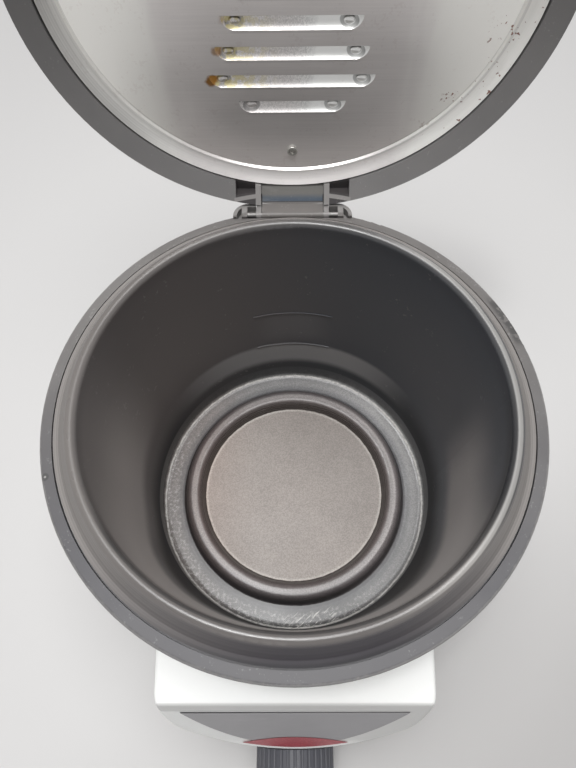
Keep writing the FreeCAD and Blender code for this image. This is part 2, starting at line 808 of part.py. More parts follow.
def outerShell():
    outer = shellForm("shell_outer", asSize(0), asSize(0))
    softenPod(outer)
    inner = shellForm("shell_inner", dim.shellWall, dim.seatGap)
    hollow = cutFrom("shell_hollow", outer, [inner])
    parts = [hollow]
    for angle in screwAngles:
        x, y = polarPoint(dim.screwPlace, angle)
        parts.append(rodAlongZ("shell_boss", dim.bossRadius, x, y, baseTop + dim.seatGap, dim.bossHeight))
    blank = joined("shell_blank", parts)
    tools = [
        panelForm("panel_recess", dim.seatGap / 2, dim.panelProud - dim.panelThick, dim.podEdge * 3),
        windowForm("window_recess", dim.seatGap / 2, dim.windowProud - dim.windowThick, dim.podEdge * 3),
        rodAlongY("bush_hole", dim.bushRadius + dim.seatGap, asSize(0), -dim.podFrontRadius * 1.05,
                  dim.knobHeight, dim.shellWall * 6),
        rodAlongY("inlet_hole", dim.inletRadius + dim.seatGap, asSize(0), dim.shieldRadius,
                  dim.inletHeight, dim.shellWall * 6)]
    lampY, lampZ = slopePoint(dim.lampPlace, dim.podEdge)
    lampHole = rodAlongZ("lamp_hole", dim.lampRadius + dim.seatGap, asSize(0), lampY, lampZ, dim.lampLength)
    leanBack(lampHole, 180)
    tools.append(lampHole)
    for angle in screwAngles:
        x, y = polarPoint(dim.screwPlace, angle)
        tools.append(rodAlongZ("shell_screw_hole", dim.screwRadius, x, y, baseTop, dim.screwLength))
    return cutFrom("outer_shell", blank, tools)


def leanBack(thing, extra):
    # turns +Z to point out of the slanted face, or into it with a further half turn
    thing.Placement.Rotation = FreeCAD.Rotation(FreeCAD.Vector(1, 0, 0), 60 + extra)
    lean = "atan2(" + dim.slopeFall.text + "; " + dim.slopeRun.text + ")"
    thing.setExpression("Placement.Rotation.Angle", lean + " + " + str(extra) + " deg")


def frontPanel():
    blank = panelForm("panel_blank", asSize(0), dim.panelProud - dim.panelThick, dim.panelProud)
    window = windowForm("panel_opening", dim.seatGap / 2, -dim.podEdge, dim.podEdge)
    return cutFrom("front_panel", blank, [window])


def pilotWindow():
    return windowForm("pilot_window", asSize(0), dim.windowProud - dim.windowThick, dim.windowProud)


def pilotLamp():
    body = newBody("pilot_lamp")
    depth = dim.windowThick - dim.windowProud
    flangeStart = dim.shellWall + dim.seatGap
    turned(body, "stem", [
        (0, -dim.lampLength), (dim.lampRadius, -dim.lampLength),
        (dim.lampRadius, -(flangeStart + dim.lampRadius / 2)),
        (dim.lampRadius * 1.6, -(flangeStart + dim.lampRadius / 2)),
        (dim.lampRadius * 1.6, -flangeStart), (dim.lampRadius, -flangeStart),
        (dim.lampRadius, -(depth + dim.fitGap)), (0, -(depth + dim.fitGap))])
    leanBack(body, 0)
    y, z = slopePoint(dim.lampPlace, asSize(0))
    placeBody(body, asSize(0), y, z)
    return body


def basePlate():
    body = newBody("base_plate")
    inset = dim.shellWall + dim.seatGap
    half = dim.podHalfWidth - inset
    drumRadius = dim.shellBaseRadius - inset
    bottom = dim.shellBottom

    def drum(sketch):
        drawCircle(sketch, 0, 0, drumRadius)

    def pod(sketch):
        drawBox(sketch, -half, -dim.podFrontRadius, half, -drumRadius / 2)

    def centreBoss(sketch):
        drawCircle(sketch, 0, 0, dim.centreBossRadius)

    raised(body, "drum", "XY_Plane", drum, dim.baseThick, offset=bottom)
    raised(body, "pod", "XY_Plane", pod, dim.baseThick, offset=bottom)
    front = ringTool(dim.podFrontRadius - inset)
    sunk(body, "podFront", "XY_Plane", front, dim.podCreaseHeight, symmetric=True)
    corners = cornerTool(half, dim.podFrontRadius - inset, dim.podCorner - dim.shellWall)
    sunk(body, "podCorners", "XY_Plane", corners, dim.podCreaseHeight, symmetric=True)
    raised(body, "centreBoss", "XY_Plane", centreBoss, dim.centreBossHeight, offset=bottom)

    def vents(sketch):
        for row in range(6):
            y = (row - 2.5) * dim.ventPitch
            for side in (-1, 1):
                near, far = side * dim.ventPlace, side * (dim.ventPlace + dim.ventLength)
                drawBox(sketch, near, y - dim.ventWidth / 2, far, y + dim.ventWidth / 2)

    def counterbore(sketch):
        drawCircle(sketch, 0, 0, dim.counterboreRadius)

    def holes(sketch):
        drawCircle(sketch, 0, 0, dim.rodRadius + dim.seatGap)
        for angle in screwAngles:
            drawCircle(sketch, *polarPoint(dim.screwPlace, angle), dim.screwRadius + dim.seatGap)
        for x, y in footPlaces():
            drawCircle(sketch, x, y, dim.footStub + dim.seatGap)

    deep = dim.centreBossHeight * 4
    sunk(body, "vents", "XY_Plane", vents, deep, symmetric=True)
    sunk(body, "counterbore", "XY_Plane", counterbore, bottom + dim.counterboreDepth, reverse=True)
    sunk(body, "holes", "XY_Plane", holes, deep, symmetric=True)
    return body


def footPlaces():
    front = sideOf(dim.podFrontRadius, dim.footFrontX) - dim.footMargin
    return [polarPoint(dim.footCircle, 45), polarPoint(dim.footCircle, 135),
            (dim.footFrontX, -front), (-dim.footFrontX, -front)]


def feet():
    body = newBody("foot_blank")
    gap = dim.seatGap
    turned(body, "foot", [
        (0, 0), (dim.footRadius - dim.footDraft, 0, dim.footEdge), (dim.footRadius, dim.shellBottom),
        (dim.footStub, dim.shellBottom), (dim.footStub, baseTop + gap),
        (dim.footStub + 3 * gap, baseTop + gap), (dim.footStub, baseTop + dim.baseThick),
        (0, baseTop + dim.baseThick)])
    return copies("feet", body, [(x, y, 0) for x, y in footPlaces()])


def copies(label, body, places):
    # several like pieces under one name
    links = []
    for x, y, z in places:
        link = doc.addObject("Part::Compound", label + "_one")
        link.Links = [body]
        for letter, coordinate in (("x", x), ("y", y), ("z", z)):
            bind(link, "Placement.Base." + letter, coordinate)
        links.append(link)
    group = doc.addObject("Part::Compound", label)
    group.Links = links
    group.Label = label
    return group


def screwBody(label, radius, length, headRadius, headHeight):
    # head down, thread up, about its own axis
    body = newBody(label)
    turned(body, "screw", [
        (0, -headHeight), (headRadius, -headHeight, headHeight / 3), (headRadius, 0),
        (radius, 0), (radius, length), (0, length)])

    def cross(sketch):
        arm, half = headRadius * 0.6, headRadius * 0.13
        drawOutline(sketch, [
            (arm, -half), (arm, half), (half, half), (half, arm), (-half, arm), (-half, half),
            (-arm, half), (-arm, -half), (-half, -half), (-half, -arm), (half, -arm), (half, -half)])

    sunk(body, "cross", "XY_Plane", cross, headHeight * 0.6, offset=-headHeight, reverse=True)
    return body


def baseScrews():
    body = screwBody("base_screw_blank", dim.screwRadius, dim.screwLength, dim.screwHeadRadius,
                     dim.screwHeadHeight)
    places = [polarPoint(dim.screwPlace, angle) for angle in screwAngles]
    return copies("base_screws", body, [(x, y, dim.shellBottom) for x, y in places])


def nutBody(label, flats, height, bore):
    body = newBody(label)

    def outline(sketch):
        hexagon(sketch, flats)
        drawCircle(sketch, 0, 0, bore)

    raised(body, "nut", "XY_Plane", outline, height)
    return body


def tieNuts():
    body = nutBody("tie_nut_blank", dim.nutFlats, dim.nutHeight, dim.rodRadius)
    lower = dim.shellBottom + dim.counterboreDepth - dim.nutHeight
    return copies("tie_nuts", body, [(0, 0, lower), (0, 0, spreaderUnder - dim.nutHeight)])


def tieRod():
    body = newBody("tie_rod")
    start = dim.shellBottom + dim.counterboreDepth - dim.nutHeight - dim.seatGap

    def outline(sketch):
        drawCircle(sketch, 0, 0, dim.rodRadius)

    raised(body, "rod", "XY_Plane", outline, spreaderTop - start, offset=start)
    return body


def legAngles():
    return (270 - dim.elementGapAngle.value / 2, 270 + dim.elementGapAngle.value / 2)


def spreaderPlate():
    body = newBody("spreader_plate")
    turned(body, "disc", [
        (dim.rodRadius + dim.fitGap, spreaderUnder), (dim.spreaderRadius, spreaderUnder),
        (dim.spreaderRadius, spreaderTop), (dim.rodRadius + dim.fitGap, spreaderTop)])

    def legHoles(sketch):
        for angle in legAngles():
            drawCircle(sketch, *polarPoint(elementRadius, angle), dim.elementTube / 2 + dim.seatGap)

    sunk(body, "legHoles", "XY_Plane", legHoles, bowlUnder * 2, symmetric=True)
    return body


def heatingElement():
    ring = doc.addObject("Part::Torus", "element_ring")
    bind(ring, "Radius1", elementRadius)
    bind(ring, "Radius2", dim.elementTube / 2)
    bind(ring, "Angle3", 360 - dim.elementGapAngle)
    bind(ring, "Placement.Base.z", elementHeight)
    ring.Placement.Rotation = FreeCAD.Rotation(FreeCAD.Vector(0, 0, 1), legAngles()[1])
    parts = [ring]
    for angle in legAngles():
        x, y = polarPoint(elementRadius, angle)
        parts.append(rodAlongZ("element_leg", dim.elementTube / 2, x, y,
                               elementHeight - dim.elementLegDrop, dim.elementLegDrop))
        bend = doc.addObject("Part::Sphere", "element_bend")
        bind(bend, "Radius", dim.elementTube / 2)
        for letter, coordinate in (("x", x), ("y", y), ("z", elementHeight)):
            bind(bend, "Placement.Base." + letter, coordinate)
        parts.append(bend)
    return joined("heating_element", parts)


def elementTerminals():
    body = newBody("terminal_blank")

    def outline(sketch):
        across, along = dim.terminalWidth / 2, dim.terminalThick / 2
        drawBox(sketch, -across, -along, across, along)

    raised(body, "tab", "XY_Plane", outline, dim.terminalLength)
    bottom = elementHeight - dim.elementLegDrop - dim.terminalLength
    places = [polarPoint(elementRadius, angle) for angle in legAngles()]
    return copies("element_terminals", body, [(x, y, bottom) for x, y in places])


def heatShield():
    body = newBody("heat_shield")
    outer = dim.shieldRadius + dim.shieldThick
    turned(body, "wall", [
        (dim.shieldRadius, dim.shieldBottom), (outer, dim.shieldBottom),
        (outer, shellTop), (dim.shieldRadius, shellTop)])
    return body


def thermalCutout():
    body = newBody("thermal_cutout")
    top = spreaderUnder
    turned(body, "can", [
        (0, -(dim.cutoutHeight + 1)), (dim.cutoutRadius, -(dim.cutoutHeight + 1), dim.seatGap),
        (dim.cutoutRadius, -1), (dim.cutoutFlange, -1), (dim.cutoutFlange, 0), (0, 0)])
    placeBody(body, -dim.cutoutDepth, asSize(0), top)
    return body


def thermostat():
    box = newBody("thermostat_case")

    def front(sketch):
        half = dim.thermostatWidth / 2
        low = dim.knobHeight - dim.thermostatHeight / 2
        drawBox(sketch, -half, low, half, low + dim.thermostatHeight)

    raised(box, "case", "XZ_Plane", front, dim.thermostatDepth, offset=thermostatFront - dim.thermostatDepth)
    bushEnd = dim.podFrontRadius + dim.bushNutHeight + dim.seatGap * 4
    bush = rodAlongY("thermostat_bush", dim.bushRadius, asSize(0), -bushEnd, dim.knobHeight,
                     bushEnd - thermostatFront + dim.fitGap)
    solid = joined("thermostat_solid", [box, bush])
    bore = rodAlongY("thermostat_bore", dim.spindleRadius + dim.fitGap, asSize(0), -(bushEnd + 1),
                     dim.knobHeight, bushEnd - thermostatFront + dim.spindleDepth + dim.seatGap + 1)
    return cutFrom("thermostat", solid, [bore])


def thermostatNut():
    body = nutBody("thermostat_nut", dim.bushNutFlats, dim.bushNutHeight, dim.bushRadius)
    placeBody(body, asSize(0), -(dim.podFrontRadius + dim.fitGap), dim.knobHeight, (1, 0, 0), 90)
    return body


def spindle():
    body = newBody("thermostat_spindle")
    inner = knobBack - thermostatFront + dim.spindleDepth

    def outline(sketch):
        drawCircle(sketch, 0, 0, dim.spindleRadius)

    raised(body, "shaft", "XY_Plane", outline, dim.spindleEnd + inner, offset=-inner)
    placeBody(body, asSize(0), -knobBack, dim.knobHeight, (1, 0, 0), 90)
    return body


def knob():
    body = newBody("knob")
    hub = dim.spindleRadius * 2
    hubStart = dim.bushNutHeight + dim.seatGap * 4
    turned(body, "grip", [
        (dim.spindleRadius, hubStart), (hub, hubStart), (hub, dim.knobSkirtDepth),
        (dim.knobRadius - dim.knobWall, dim.knobSkirtDepth), (dim.knobRadius - dim.knobWall, 0),
        (dim.knobRadius, 0), (dim.knobRadius, dim.knobLength, dim.knobEdge), (0, dim.knobLength),
        (0, dim.spindleEnd), (dim.spindleRadius, dim.spindleEnd)])

    def flute(sketch):
        drawCircle(sketch, dim.knobRadius + dim.knobFlute / 2, 0, dim.knobFlute)

    def pointerSeat(sketch):
        half = dim.pointerWidth / 2 + dim.fitGap
        top = dim.knobRadius - dim.knobEdge - dim.fitGap
        drawBox(sketch, -half, top - dim.pointerLength - dim.fitGap, half, top + dim.fitGap)

    cut = sunk(body, "flute", "XY_Plane", flute, dim.knobLength * 2, symmetric=True)
    repeated(body, "flutes", cut, 36)
    sunk(body, "pointerSeat", "XY_Plane", pointerSeat, dim.pointerDepth, offset=dim.knobLength)
    placeBody(body, asSize(0), -knobBack, dim.knobHeight, (1, 0, 0), 90)
    return body


def knobPointer():
    body = newBody("knob_pointer")

    def bar(sketch):
        top = dim.knobRadius - dim.knobEdge - dim.fitGap
        drawBox(sketch, -dim.pointerWidth / 2, top - dim.pointerLength, dim.pointerWidth / 2, top)

    thick = dim.pointerDepth + dim.pointerProud
    raised(body, "bar", "XY_Plane", bar, thick, offset=dim.knobLength - dim.pointerDepth)
    placeBody(body, asSize(0), -knobBack, dim.knobHeight, (1, 0, 0), 90)
    return body


bulbHeight = spreaderUnder - dim.seatGap / 3 - dim.bulbRadius


def sensorBulb():
    rod = rodAlongY("sensor_bulb", dim.bulbRadius, dim.bulbOffset, -dim.bulbLength / 2, bulbHeight,
                    dim.bulbLength)
    rod.Label = "sensor_bulb"
    return rod


def capillary():
    # a thin tube from the bulb forward, then round into the thermostat's side
    side = dim.thermostatWidth / 2
    bend = dim.bulbOffset - side
    depth = thermostatFront - dim.thermostatDepth / 2
    turnY = -(depth - bend)
    run = depth - bend - dim.bulbLength / 2
    tube = rodAlongY("capillary_run", dim.capillaryRadius, dim.bulbOffset, turnY, bulbHeight, run)
    ring = doc.addObject("Part::Torus", "capillary_bend")
    bind(ring, "Radius1", bend)
    bind(ring, "Radius2", dim.capillaryRadius)
    ring.Angle3 = 90
    ring.Placement.Rotation = FreeCAD.Rotation(FreeCAD.Vector(0, 0, 1), 270)
    for letter, coordinate in (("x", side), ("y", turnY), ("z", bulbHeight)):
        bind(ring, "Placement.Base." + letter, coordinate)
    return joined("capillary", [tube, ring])


def terminalBlock():
    body = newBody("terminal_block")
    half = dim.blockWidth / 2

    def outline(sketch):
        drawBox(sketch, -half, dim.blockPlace - dim.blockDepth / 2, half, dim.blockPlace + dim.blockDepth / 2)

    def slots(sketch):
        for step in (-1, 0, 1):
            x = step * dim.blockWidth / 3
            drawBox(sketch, x - half / 5, dim.blockPlace - dim.blockDepth, x + half / 5,
                    dim.blockPlace + dim.blockDepth)

    raised(body, "block", "XY_Plane", outline, dim.blockHeight, offset=baseTop)
    sunk(body, "slots", "XY_Plane", slots, dim.blockHeight / 3, offset=baseTop + dim.blockHeight)
    return body


def cordInlet():
    body = newBody("cord_inlet")
    outside = dim.shellBaseRadius + dim.seatGap * 3
    inside = sideOf(dim.shellBaseRadius - dim.shellWall, dim.inletFlange) - dim.seatGap
    turned(body, "gland", [
        (dim.inletBore, inside - dim.inletFlangeThick),
        (dim.inletFlange - 1, inside - dim.inletFlangeThick), (dim.inletFlange - 1, inside),
        (dim.inletRadius, inside), (dim.inletRadius, outside), (dim.inletFlange, outside),
        (dim.inletFlange, outside + dim.inletFlangeThick, dim.inletFlangeThick / 3),
        (dim.inletBore, outside + dim.inletFlangeThick)])
    placeBody(body, asSize(0), asSize(0), dim.inletHeight, (1, 0, 0), -90)
    return body


# ---- the lid, drawn shut ----

lidAxis = FreeCAD.Vector(0, dim.hingeDepth.value, dim.rimHeight.value)
webBottom = rim + dim.frameWebRise
webTop = webBottom + dim.frameWall
plateFlat = rim + dim.plateFlatRise
plateBand = rim + dim.plateEdgeRise + dim.plateBandRise
crown = rim + dim.coverCrown
coverBottom = rim + dim.lidEdgeRise + dim.frameLip + dim.seatGap
frameOuter = dim.lidRadius - dim.coverWall - dim.seatGap * 2
screwAnglesLid = (90, 210, 330)


def openLid(thing, label):
    # swings a shut piece up to where the lid rests
    holder = doc.addObject("Part::Compound", label)
    holder.Links = [thing]
    holder.Label = label
    turn = FreeCAD.Rotation(FreeCAD.Vector(1, 0, 0), -dim.lidOpenAngle.value)
    holder.Placement = FreeCAD.Placement(lidAxis - turn.multVec(lidAxis), turn)
    return holder


def lidFrame():
    body = newBody("frame_shut")
    edge = rim + dim.lidEdgeRise
    turned(body, "ring", [
        (dim.plateEdgeRadius + dim.plateGap, rim + dim.plateEdgeRise - dim.plateGap),
        (dim.lidRadius, edge), (dim.lidRadius, edge + dim.frameLip), (frameOuter, edge + dim.frameLip),
        (frameOuter, webTop), (dim.frameOpening, webTop), (dim.frameOpening, webBottom),
        (frameOuter - dim.frameWall, webBottom), (frameOuter - dim.frameWall, plateBand),
        (dim.plateEdgeRadius + dim.plateGap, plateBand)])
    half = dim.tongueThick / 2

    lipTop = edge + dim.frameLip
    tongueFace = dim.hingeDepth - half
    armInner = dim.tongueHalfWidth - dim.tongueRib

    def tongue(sketch):
        drawOutline(sketch, [
            (tongueFace, rim - half, half - dim.fitGap),
            (dim.hingeDepth + half, rim - half, half - dim.fitGap),
            (dim.hingeDepth + half, edge + dim.bandSink * 1.4), (dim.lidRadius, lipTop), (frameOuter, lipTop),
            (frameOuter, edge + dim.frameLip * 0.7), (tongueFace, edge + dim.bandSink)])

    def bandCut(sketch):
        # the edge band is set in above the tongue
        inner = dim.plateEdgeRadius + dim.plateGap
        slope = (dim.plateEdgeRise - dim.plateGap - dim.lidEdgeRise) / (dim.lidRadius - inner)
        drawOutline(sketch, [
            (inner - half, rim - half), (tongueFace, rim - half), (tongueFace, edge + dim.bandSink),
            (inner - half, edge + dim.bandSink + slope * (tongueFace - inner + half))])

    def grooves(sketch):
        for side in (-1, 1):
            near, far = side * armInner, side * (armInner - dim.tongueGroove)
            drawBox(sketch, near, dim.plateEdgeRadius, far, tongueFace + dim.tongueGrooveDepth)

    def bandPockets(sketch):
        for side in (-1, 1):
            near, far = side * (dim.tongueHalfWidth + dim.seatGap), side * dim.pocketHalfWidth
            drawBox(sketch, near, dim.plateEdgeRadius - dim.plateBandWidth, far,
                    sideOf(dim.lidRadius - dim.bandPocketWall, dim.pocketHalfWidth))

    def bore(sketch):
        drawCircle(sketch, dim.hingeDepth, rim, dim.pinRadius)

    def bosses(sketch):
        for angle in screwAnglesLid:
            drawCircle(sketch, *polarPoint(dim.plateScrewPlace, angle), dim.plateBossRadius)

    def screwHoles(sketch):
        for angle in screwAnglesLid:
            drawCircle(sketch, *polarPoint(dim.plateScrewPlace, angle), dim.plateScrewRadius)

    raised(body, "tongue", "YZ_Plane", tongue, 2 * dim.tongueHalfWidth, symmetric=True)
    sunk(body, "bandCut", "YZ_Plane", bandCut, 2 * armInner, symmetric=True)
    sunk(body, "grooves", "XY_Plane", grooves, dim.bandPocketTop, offset=rim - half, reverse=True)
    sunk(body, "bandPockets", "XY_Plane", bandPockets, dim.bandPocketTop, offset=rim, reverse=True)
    sunk(body, "pinBore", "YZ_Plane", bore, 3 * dim.tongueHalfWidth, symmetric=True)
    bossStart = plateFlat + dim.plateThick
    raised(body, "bosses", "XY_Plane", bosses, webTop - bossStart, offset=bossStart)
    sunk(body, "screwHoles", "XY_Plane", screwHoles, 3 * webTop, symmetric=True)
    return openLid(body, "lid_frame")


def hingePins():
    body = newBody("pin_blank")

    def outline(sketch):
        drawCircle(sketch, dim.hingeDepth, rim, dim.pinRadius)

    raised(body, "pin", "YZ_Plane", outline, dim.pinOuter - dim.pinInner)
    return copies("hinge_pins", body, [(dim.pinInner, 0, 0), (-dim.pinOuter, 0, 0)])


def lidCover():
    body = newBody("cover_shut")
    wall = dim.coverWall
    shoulder = rim + dim.coverShoulder
    opening = dim.ventCoverRadius + dim.seatGap
    seat = crown - wall - dim.seatGap
    turned(body, "dome", [
        (dim.lidRadius, coverBottom), (dim.lidRadius, shoulder, dim.coverShoulderRound),
        (dim.coverCrownRadius, crown - dim.coverFall, dim.coverCrownRound), (opening, crown),
        (opening, seat), (opening - dim.ventSeat, seat), (opening - dim.ventSeat, seat - wall),
        (opening + wall, seat - wall),
        (dim.coverCrownRadius - wall / 2, crown - dim.coverFall - wall, dim.coverCrownRound),
        (dim.lidRadius - wall, shoulder - wall / 2, dim.coverShoulderRound - wall),
        (dim.lidRadius - wall, coverBottom)])

    def tab(sketch):
        half, corner = dim.tabHalfWidth, dim.tabReach / 2
        near, far = -dim.lidRadius * 0.98, -(dim.lidRadius + dim.tabReach)
        drawOutline(sketch, [(-half, near), (-half, far, corner), (half, far, corner), (half, near)])

    def posts(sketch):
        for angle in screwAnglesLid:
            drawCircle(sketch, *polarPoint(dim.plateScrewPlace, angle), dim.plateBossRadius)

    def pilotHoles(sketch):
        for angle in screwAnglesLid:
            drawCircle(sketch, *polarPoint(dim.plateScrewPlace, angle), dim.plateScrewRadius)

    raised(body, "tab", "XY_Plane", tab, dim.tabThick, offset=coverBottom)
    postTop = crown - dim.postDrop
    raised(body, "posts", "XY_Plane", posts, postTop - webTop, offset=webTop)
    sunk(body, "pilotHoles", "XY_Plane", pilotHoles, dim.plateScrewLength / 2, offset=webTop, reverse=True)
    return openLid(body, "lid_cover")


def ventCover():
    body = newBody("vent_shut")
    seat = crown - dim.coverWall
    skirtBottom = carbonBottom + dim.carbonFilterThick + dim.seatGap
    skirt = dim.filterRadius - dim.coverWall
    turned(body, "disc", [
        (0, crown), (dim.ventCoverRadius, crown), (dim.ventCoverRadius, seat), (dim.filterRadius, seat),
        (dim.filterRadius, skirtBottom), (skirt, skirtBottom), (skirt, seat), (0, seat)])

    def slots(sketch):
        for step in range(-3, 4):
            length = dim.ventSlotLength / 2 - abs(step) * dim.ventSlotWidth
            y = step * dim.ventSlotPitch
            drawBox(sketch, -length, y - dim.ventSlotWidth / 2, length, y + dim.ventSlotWidth / 2)

    sunk(body, "slots", "XY_Plane", slots, 2 * crown + dim.coverWall, symmetric=True)
    return openLid(body, "vent_cover")


greaseBottom = webTop
carbonBottom = greaseBottom + dim.greaseFilterThick + dim.seatGap


def filterDisc(label, bottom, thick):
    body = newBody(label + "_shut")

    def outline(sketch):
        drawCircle(sketch, 0, 0, dim.filterRadius)

    raised(body, "disc", "XY_Plane", outline, thick, offset=bottom)
    return openLid(body, label)


def lidPlate():
    # a pressed steel plate with a row of louvres across, each open towards the lid's front
    disc = newBody("plate_disc")
    step = dim.plateEdgeRadius - dim.plateBandWidth
    edge = rim + dim.plateEdgeRise
    thick = dim.plateThick
    dish = (step + dim.plateEdgeRadius) / 2
    turned(disc, "plate", [
        (0, plateFlat), (dim.plateFlatRadius, plateFlat), (step, edge + dim.plateStepRise),
        (dish, edge + dim.plateDishRise, dim.plateDishRound), (dim.plateEdgeRadius, edge),
        (dim.plateEdgeRadius, edge + thick),
        (dish + thick / 4, edge + dim.plateDishRise + thick, dim.plateDishRound),
        (step + thick / 3, edge + dim.plateStepRise + thick),
        (dim.plateFlatRadius + thick / 2, plateFlat + thick), (0, plateFlat + thick)])
    width, depth = dim.louvreWidth, dim.louvreDepth
    roundness = (width * width + depth * depth) / (2 * depth)
    outers = []
    inners = []
    for index in range(len(louvreRows)):
        place = getattr(dim, "louvrePlace" + str(index))
        half = getattr(dim, "louvreLength" + str(index)) / 2 - dim.louvreWidth
        for grow, group, name in ((thick, outers, "hood"), (asSize(0), inners, "hollow")):
            group.append(quarterCapsule(name + str(index), half, roundness, grow, place))
    box = doc.addObject("Part::Box", "hood_space")
    for name, size in (("Length", 2 * dim.plateFlatRadius), ("Width", 2 * dim.plateFlatRadius),
                       ("Height", dim.louvreDepth * 2), ("Placement.Base.x", -dim.plateFlatRadius),
                       ("Placement.Base.y", -dim.plateFlatRadius), ("Placement.Base.z", plateFlat)):
        bind(box, name, size)
    hoods = shared("hoods", joined("hood_solids", outers), box)
    blank = joined("plate_blank", [disc, hoods])
    tools = list(inners)
    for angle in screwAnglesLid:
        x, y = polarPoint(dim.plateScrewPlace, angle)
        tools.append(rodAlongZ("plate_screw_hole", dim.plateScrewRadius, x, y, plateFlat - thick, 3 * thick))
    return openLid(cutFrom("plate_shut", blank, tools), "lid_plate")


def quarterCapsule(label, half, radius, grow, place):
    # a quarter of a capsule, flat on the side where the louvre opens
    body = newBody(label)
    sketch = sketchOn(body, "XZ_Plane", "outline")
    size = radius + grow
    end = half + size
    drawOutline(sketch, [(-end, 0), (end, 0), (end, size, size * 0.999), (-end, size, size * 0.999)])
    quarter = body.newObject("PartDesign::Revolution", label + "_turn")
    quarter.Profile = sketch
    quarter.ReferenceAxis = (sketch, ["H_Axis"])
    quarter.Angle = 90
    quarter.Reversed = True
    placeBody(body, asSize(0), place - dim.louvreWidth, plateFlat + dim.louvreDepth - radius)
    return body


def plateScrews():
    body = screwBody("plate_screw_blank", dim.plateScrewRadius, dim.plateScrewLength, dim.plateScrewHead,
                     dim.plateScrewHeadHeight)
    places = [polarPoint(dim.plateScrewPlace, angle) for angle in screwAnglesLid]
    return openLid(copies("screws_shut", body, [(x, y, plateFlat) for x, y in places]), "plate_screws")


# ---- build everything ----

pieces = [
    bowl(), bowlSeal(), collar(), outerShell(), frontPanel(), pilotWindow(), pilotLamp(),
    basePlate(), feet(), baseScrews(), tieNuts(), tieRod(), spreaderPlate(), heatingElement(),
    elementTerminals(), heatShield(), thermalCutout(), thermostat(), thermostatNut(), spindle(),
    knob(), knobPointer(), sensorBulb(), capillary(), terminalBlock(), cordInlet(), lidFrame(),
    hingePins(), lidCover(), ventCover(),
    filterDisc("grease_filter", greaseBottom, dim.greaseFilterThick),
    filterDisc("carbon_filter", carbonBottom, dim.carbonFilterThick), lidPlate(), plateScrews()]
doc.recompute()

for thing in doc.Objects:
    if "Invalid" in thing.State or "Error" in thing.State:
        raise RuntimeError(thing.Name + " didn't build")
os.makedirs("parts", exist_ok=True)
for piece in pieces:
    shape = piece.Shape
    if shape.isNull() or not shape.isValid() or shape.Volume <= 0:
        raise RuntimeError(piece.Label + " has no sound solid")
    shape.exportStep("parts/" + piece.Label + ".step")
print("wrote", len(pieces), "parts")
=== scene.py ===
import json
import math

import bmesh
import bpy
from mathutils import Matrix, Vector
from mathutils.bvhtree import BVHTree


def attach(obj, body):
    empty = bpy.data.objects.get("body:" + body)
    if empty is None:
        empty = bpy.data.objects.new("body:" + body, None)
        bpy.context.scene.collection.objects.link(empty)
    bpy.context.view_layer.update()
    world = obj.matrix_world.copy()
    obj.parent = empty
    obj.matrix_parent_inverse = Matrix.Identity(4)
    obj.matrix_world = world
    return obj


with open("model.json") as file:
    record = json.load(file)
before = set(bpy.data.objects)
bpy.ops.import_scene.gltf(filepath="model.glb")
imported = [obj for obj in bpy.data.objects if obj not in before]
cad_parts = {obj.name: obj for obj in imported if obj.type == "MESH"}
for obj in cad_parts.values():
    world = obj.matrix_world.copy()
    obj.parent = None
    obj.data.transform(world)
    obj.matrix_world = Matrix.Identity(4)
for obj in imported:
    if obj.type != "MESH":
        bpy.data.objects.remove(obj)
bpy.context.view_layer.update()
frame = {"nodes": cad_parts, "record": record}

nodes = frame["nodes"]


# camera, floor and light

# lengths in metres, angles in degrees
cameraView = {
    "place": (-0.00046, -0.11321, 0.45297),
    "lookDown": 64.62,
    "roll": -1.17,
    "turn": 1.0,
    "lens": 28.125,
    "sensor": 36.0,
    "nearest": 0.01,
}

lighting = {
    "diffuse": (0.44, -0.07, 0.28, 0.08),   # world light: level, and how it grows to +X, +Y and +Z
    "gloss": (0.68, -0.04, 0.0, 0.10),      # the same for what shiny faces reflect
    "backdrop": (0.70, 0.69, 0.69),
    "floorColor": (0.64, 0.632, 0.628),
    "floorShade": (0.47, 0.46, 0.455),
}

# name, place, aimed at, size, watts
softboxes = [
    ("topLight", (-0.02, 0.0, 1.45), (0.0, 0.0, 0.15), 0.9, 15.0),
    ("sparkLight", (-0.12, -0.05, 1.35), (0.0, 0.0, 0.15), 0.14, 3.0),
]


def makeCamera():
    down = math.radians(cameraView["lookDown"])
    roll = math.radians(cameraView["roll"])
    turn = Matrix.Rotation(math.radians(cameraView["turn"]), 3, "Z")
    forward = turn @ Vector((0, math.cos(down), -math.sin(down)))
    up = turn @ Vector((0, math.sin(down), math.cos(down)))
    right = turn @ Vector((1, 0, 0))
    rolledRight = right * math.cos(roll) + up * math.sin(roll)
    rolledUp = up * math.cos(roll) - right * math.sin(roll)
    data = bpy.data.cameras.new("mainCamera")
    data.lens = cameraView["lens"]
    data.sensor_width = cameraView["sensor"]
    data.clip_start = cameraView["nearest"]
    camera = bpy.data.objects.new("mainCamera", data)
    basis = Matrix((rolledRight, rolledUp, -forward)).transposed().to_4x4()
    camera.matrix_world = Matrix.Translation(cameraView["place"]) @ basis
    bpy.context.collection.objects.link(camera)
    bpy.context.scene.camera = camera


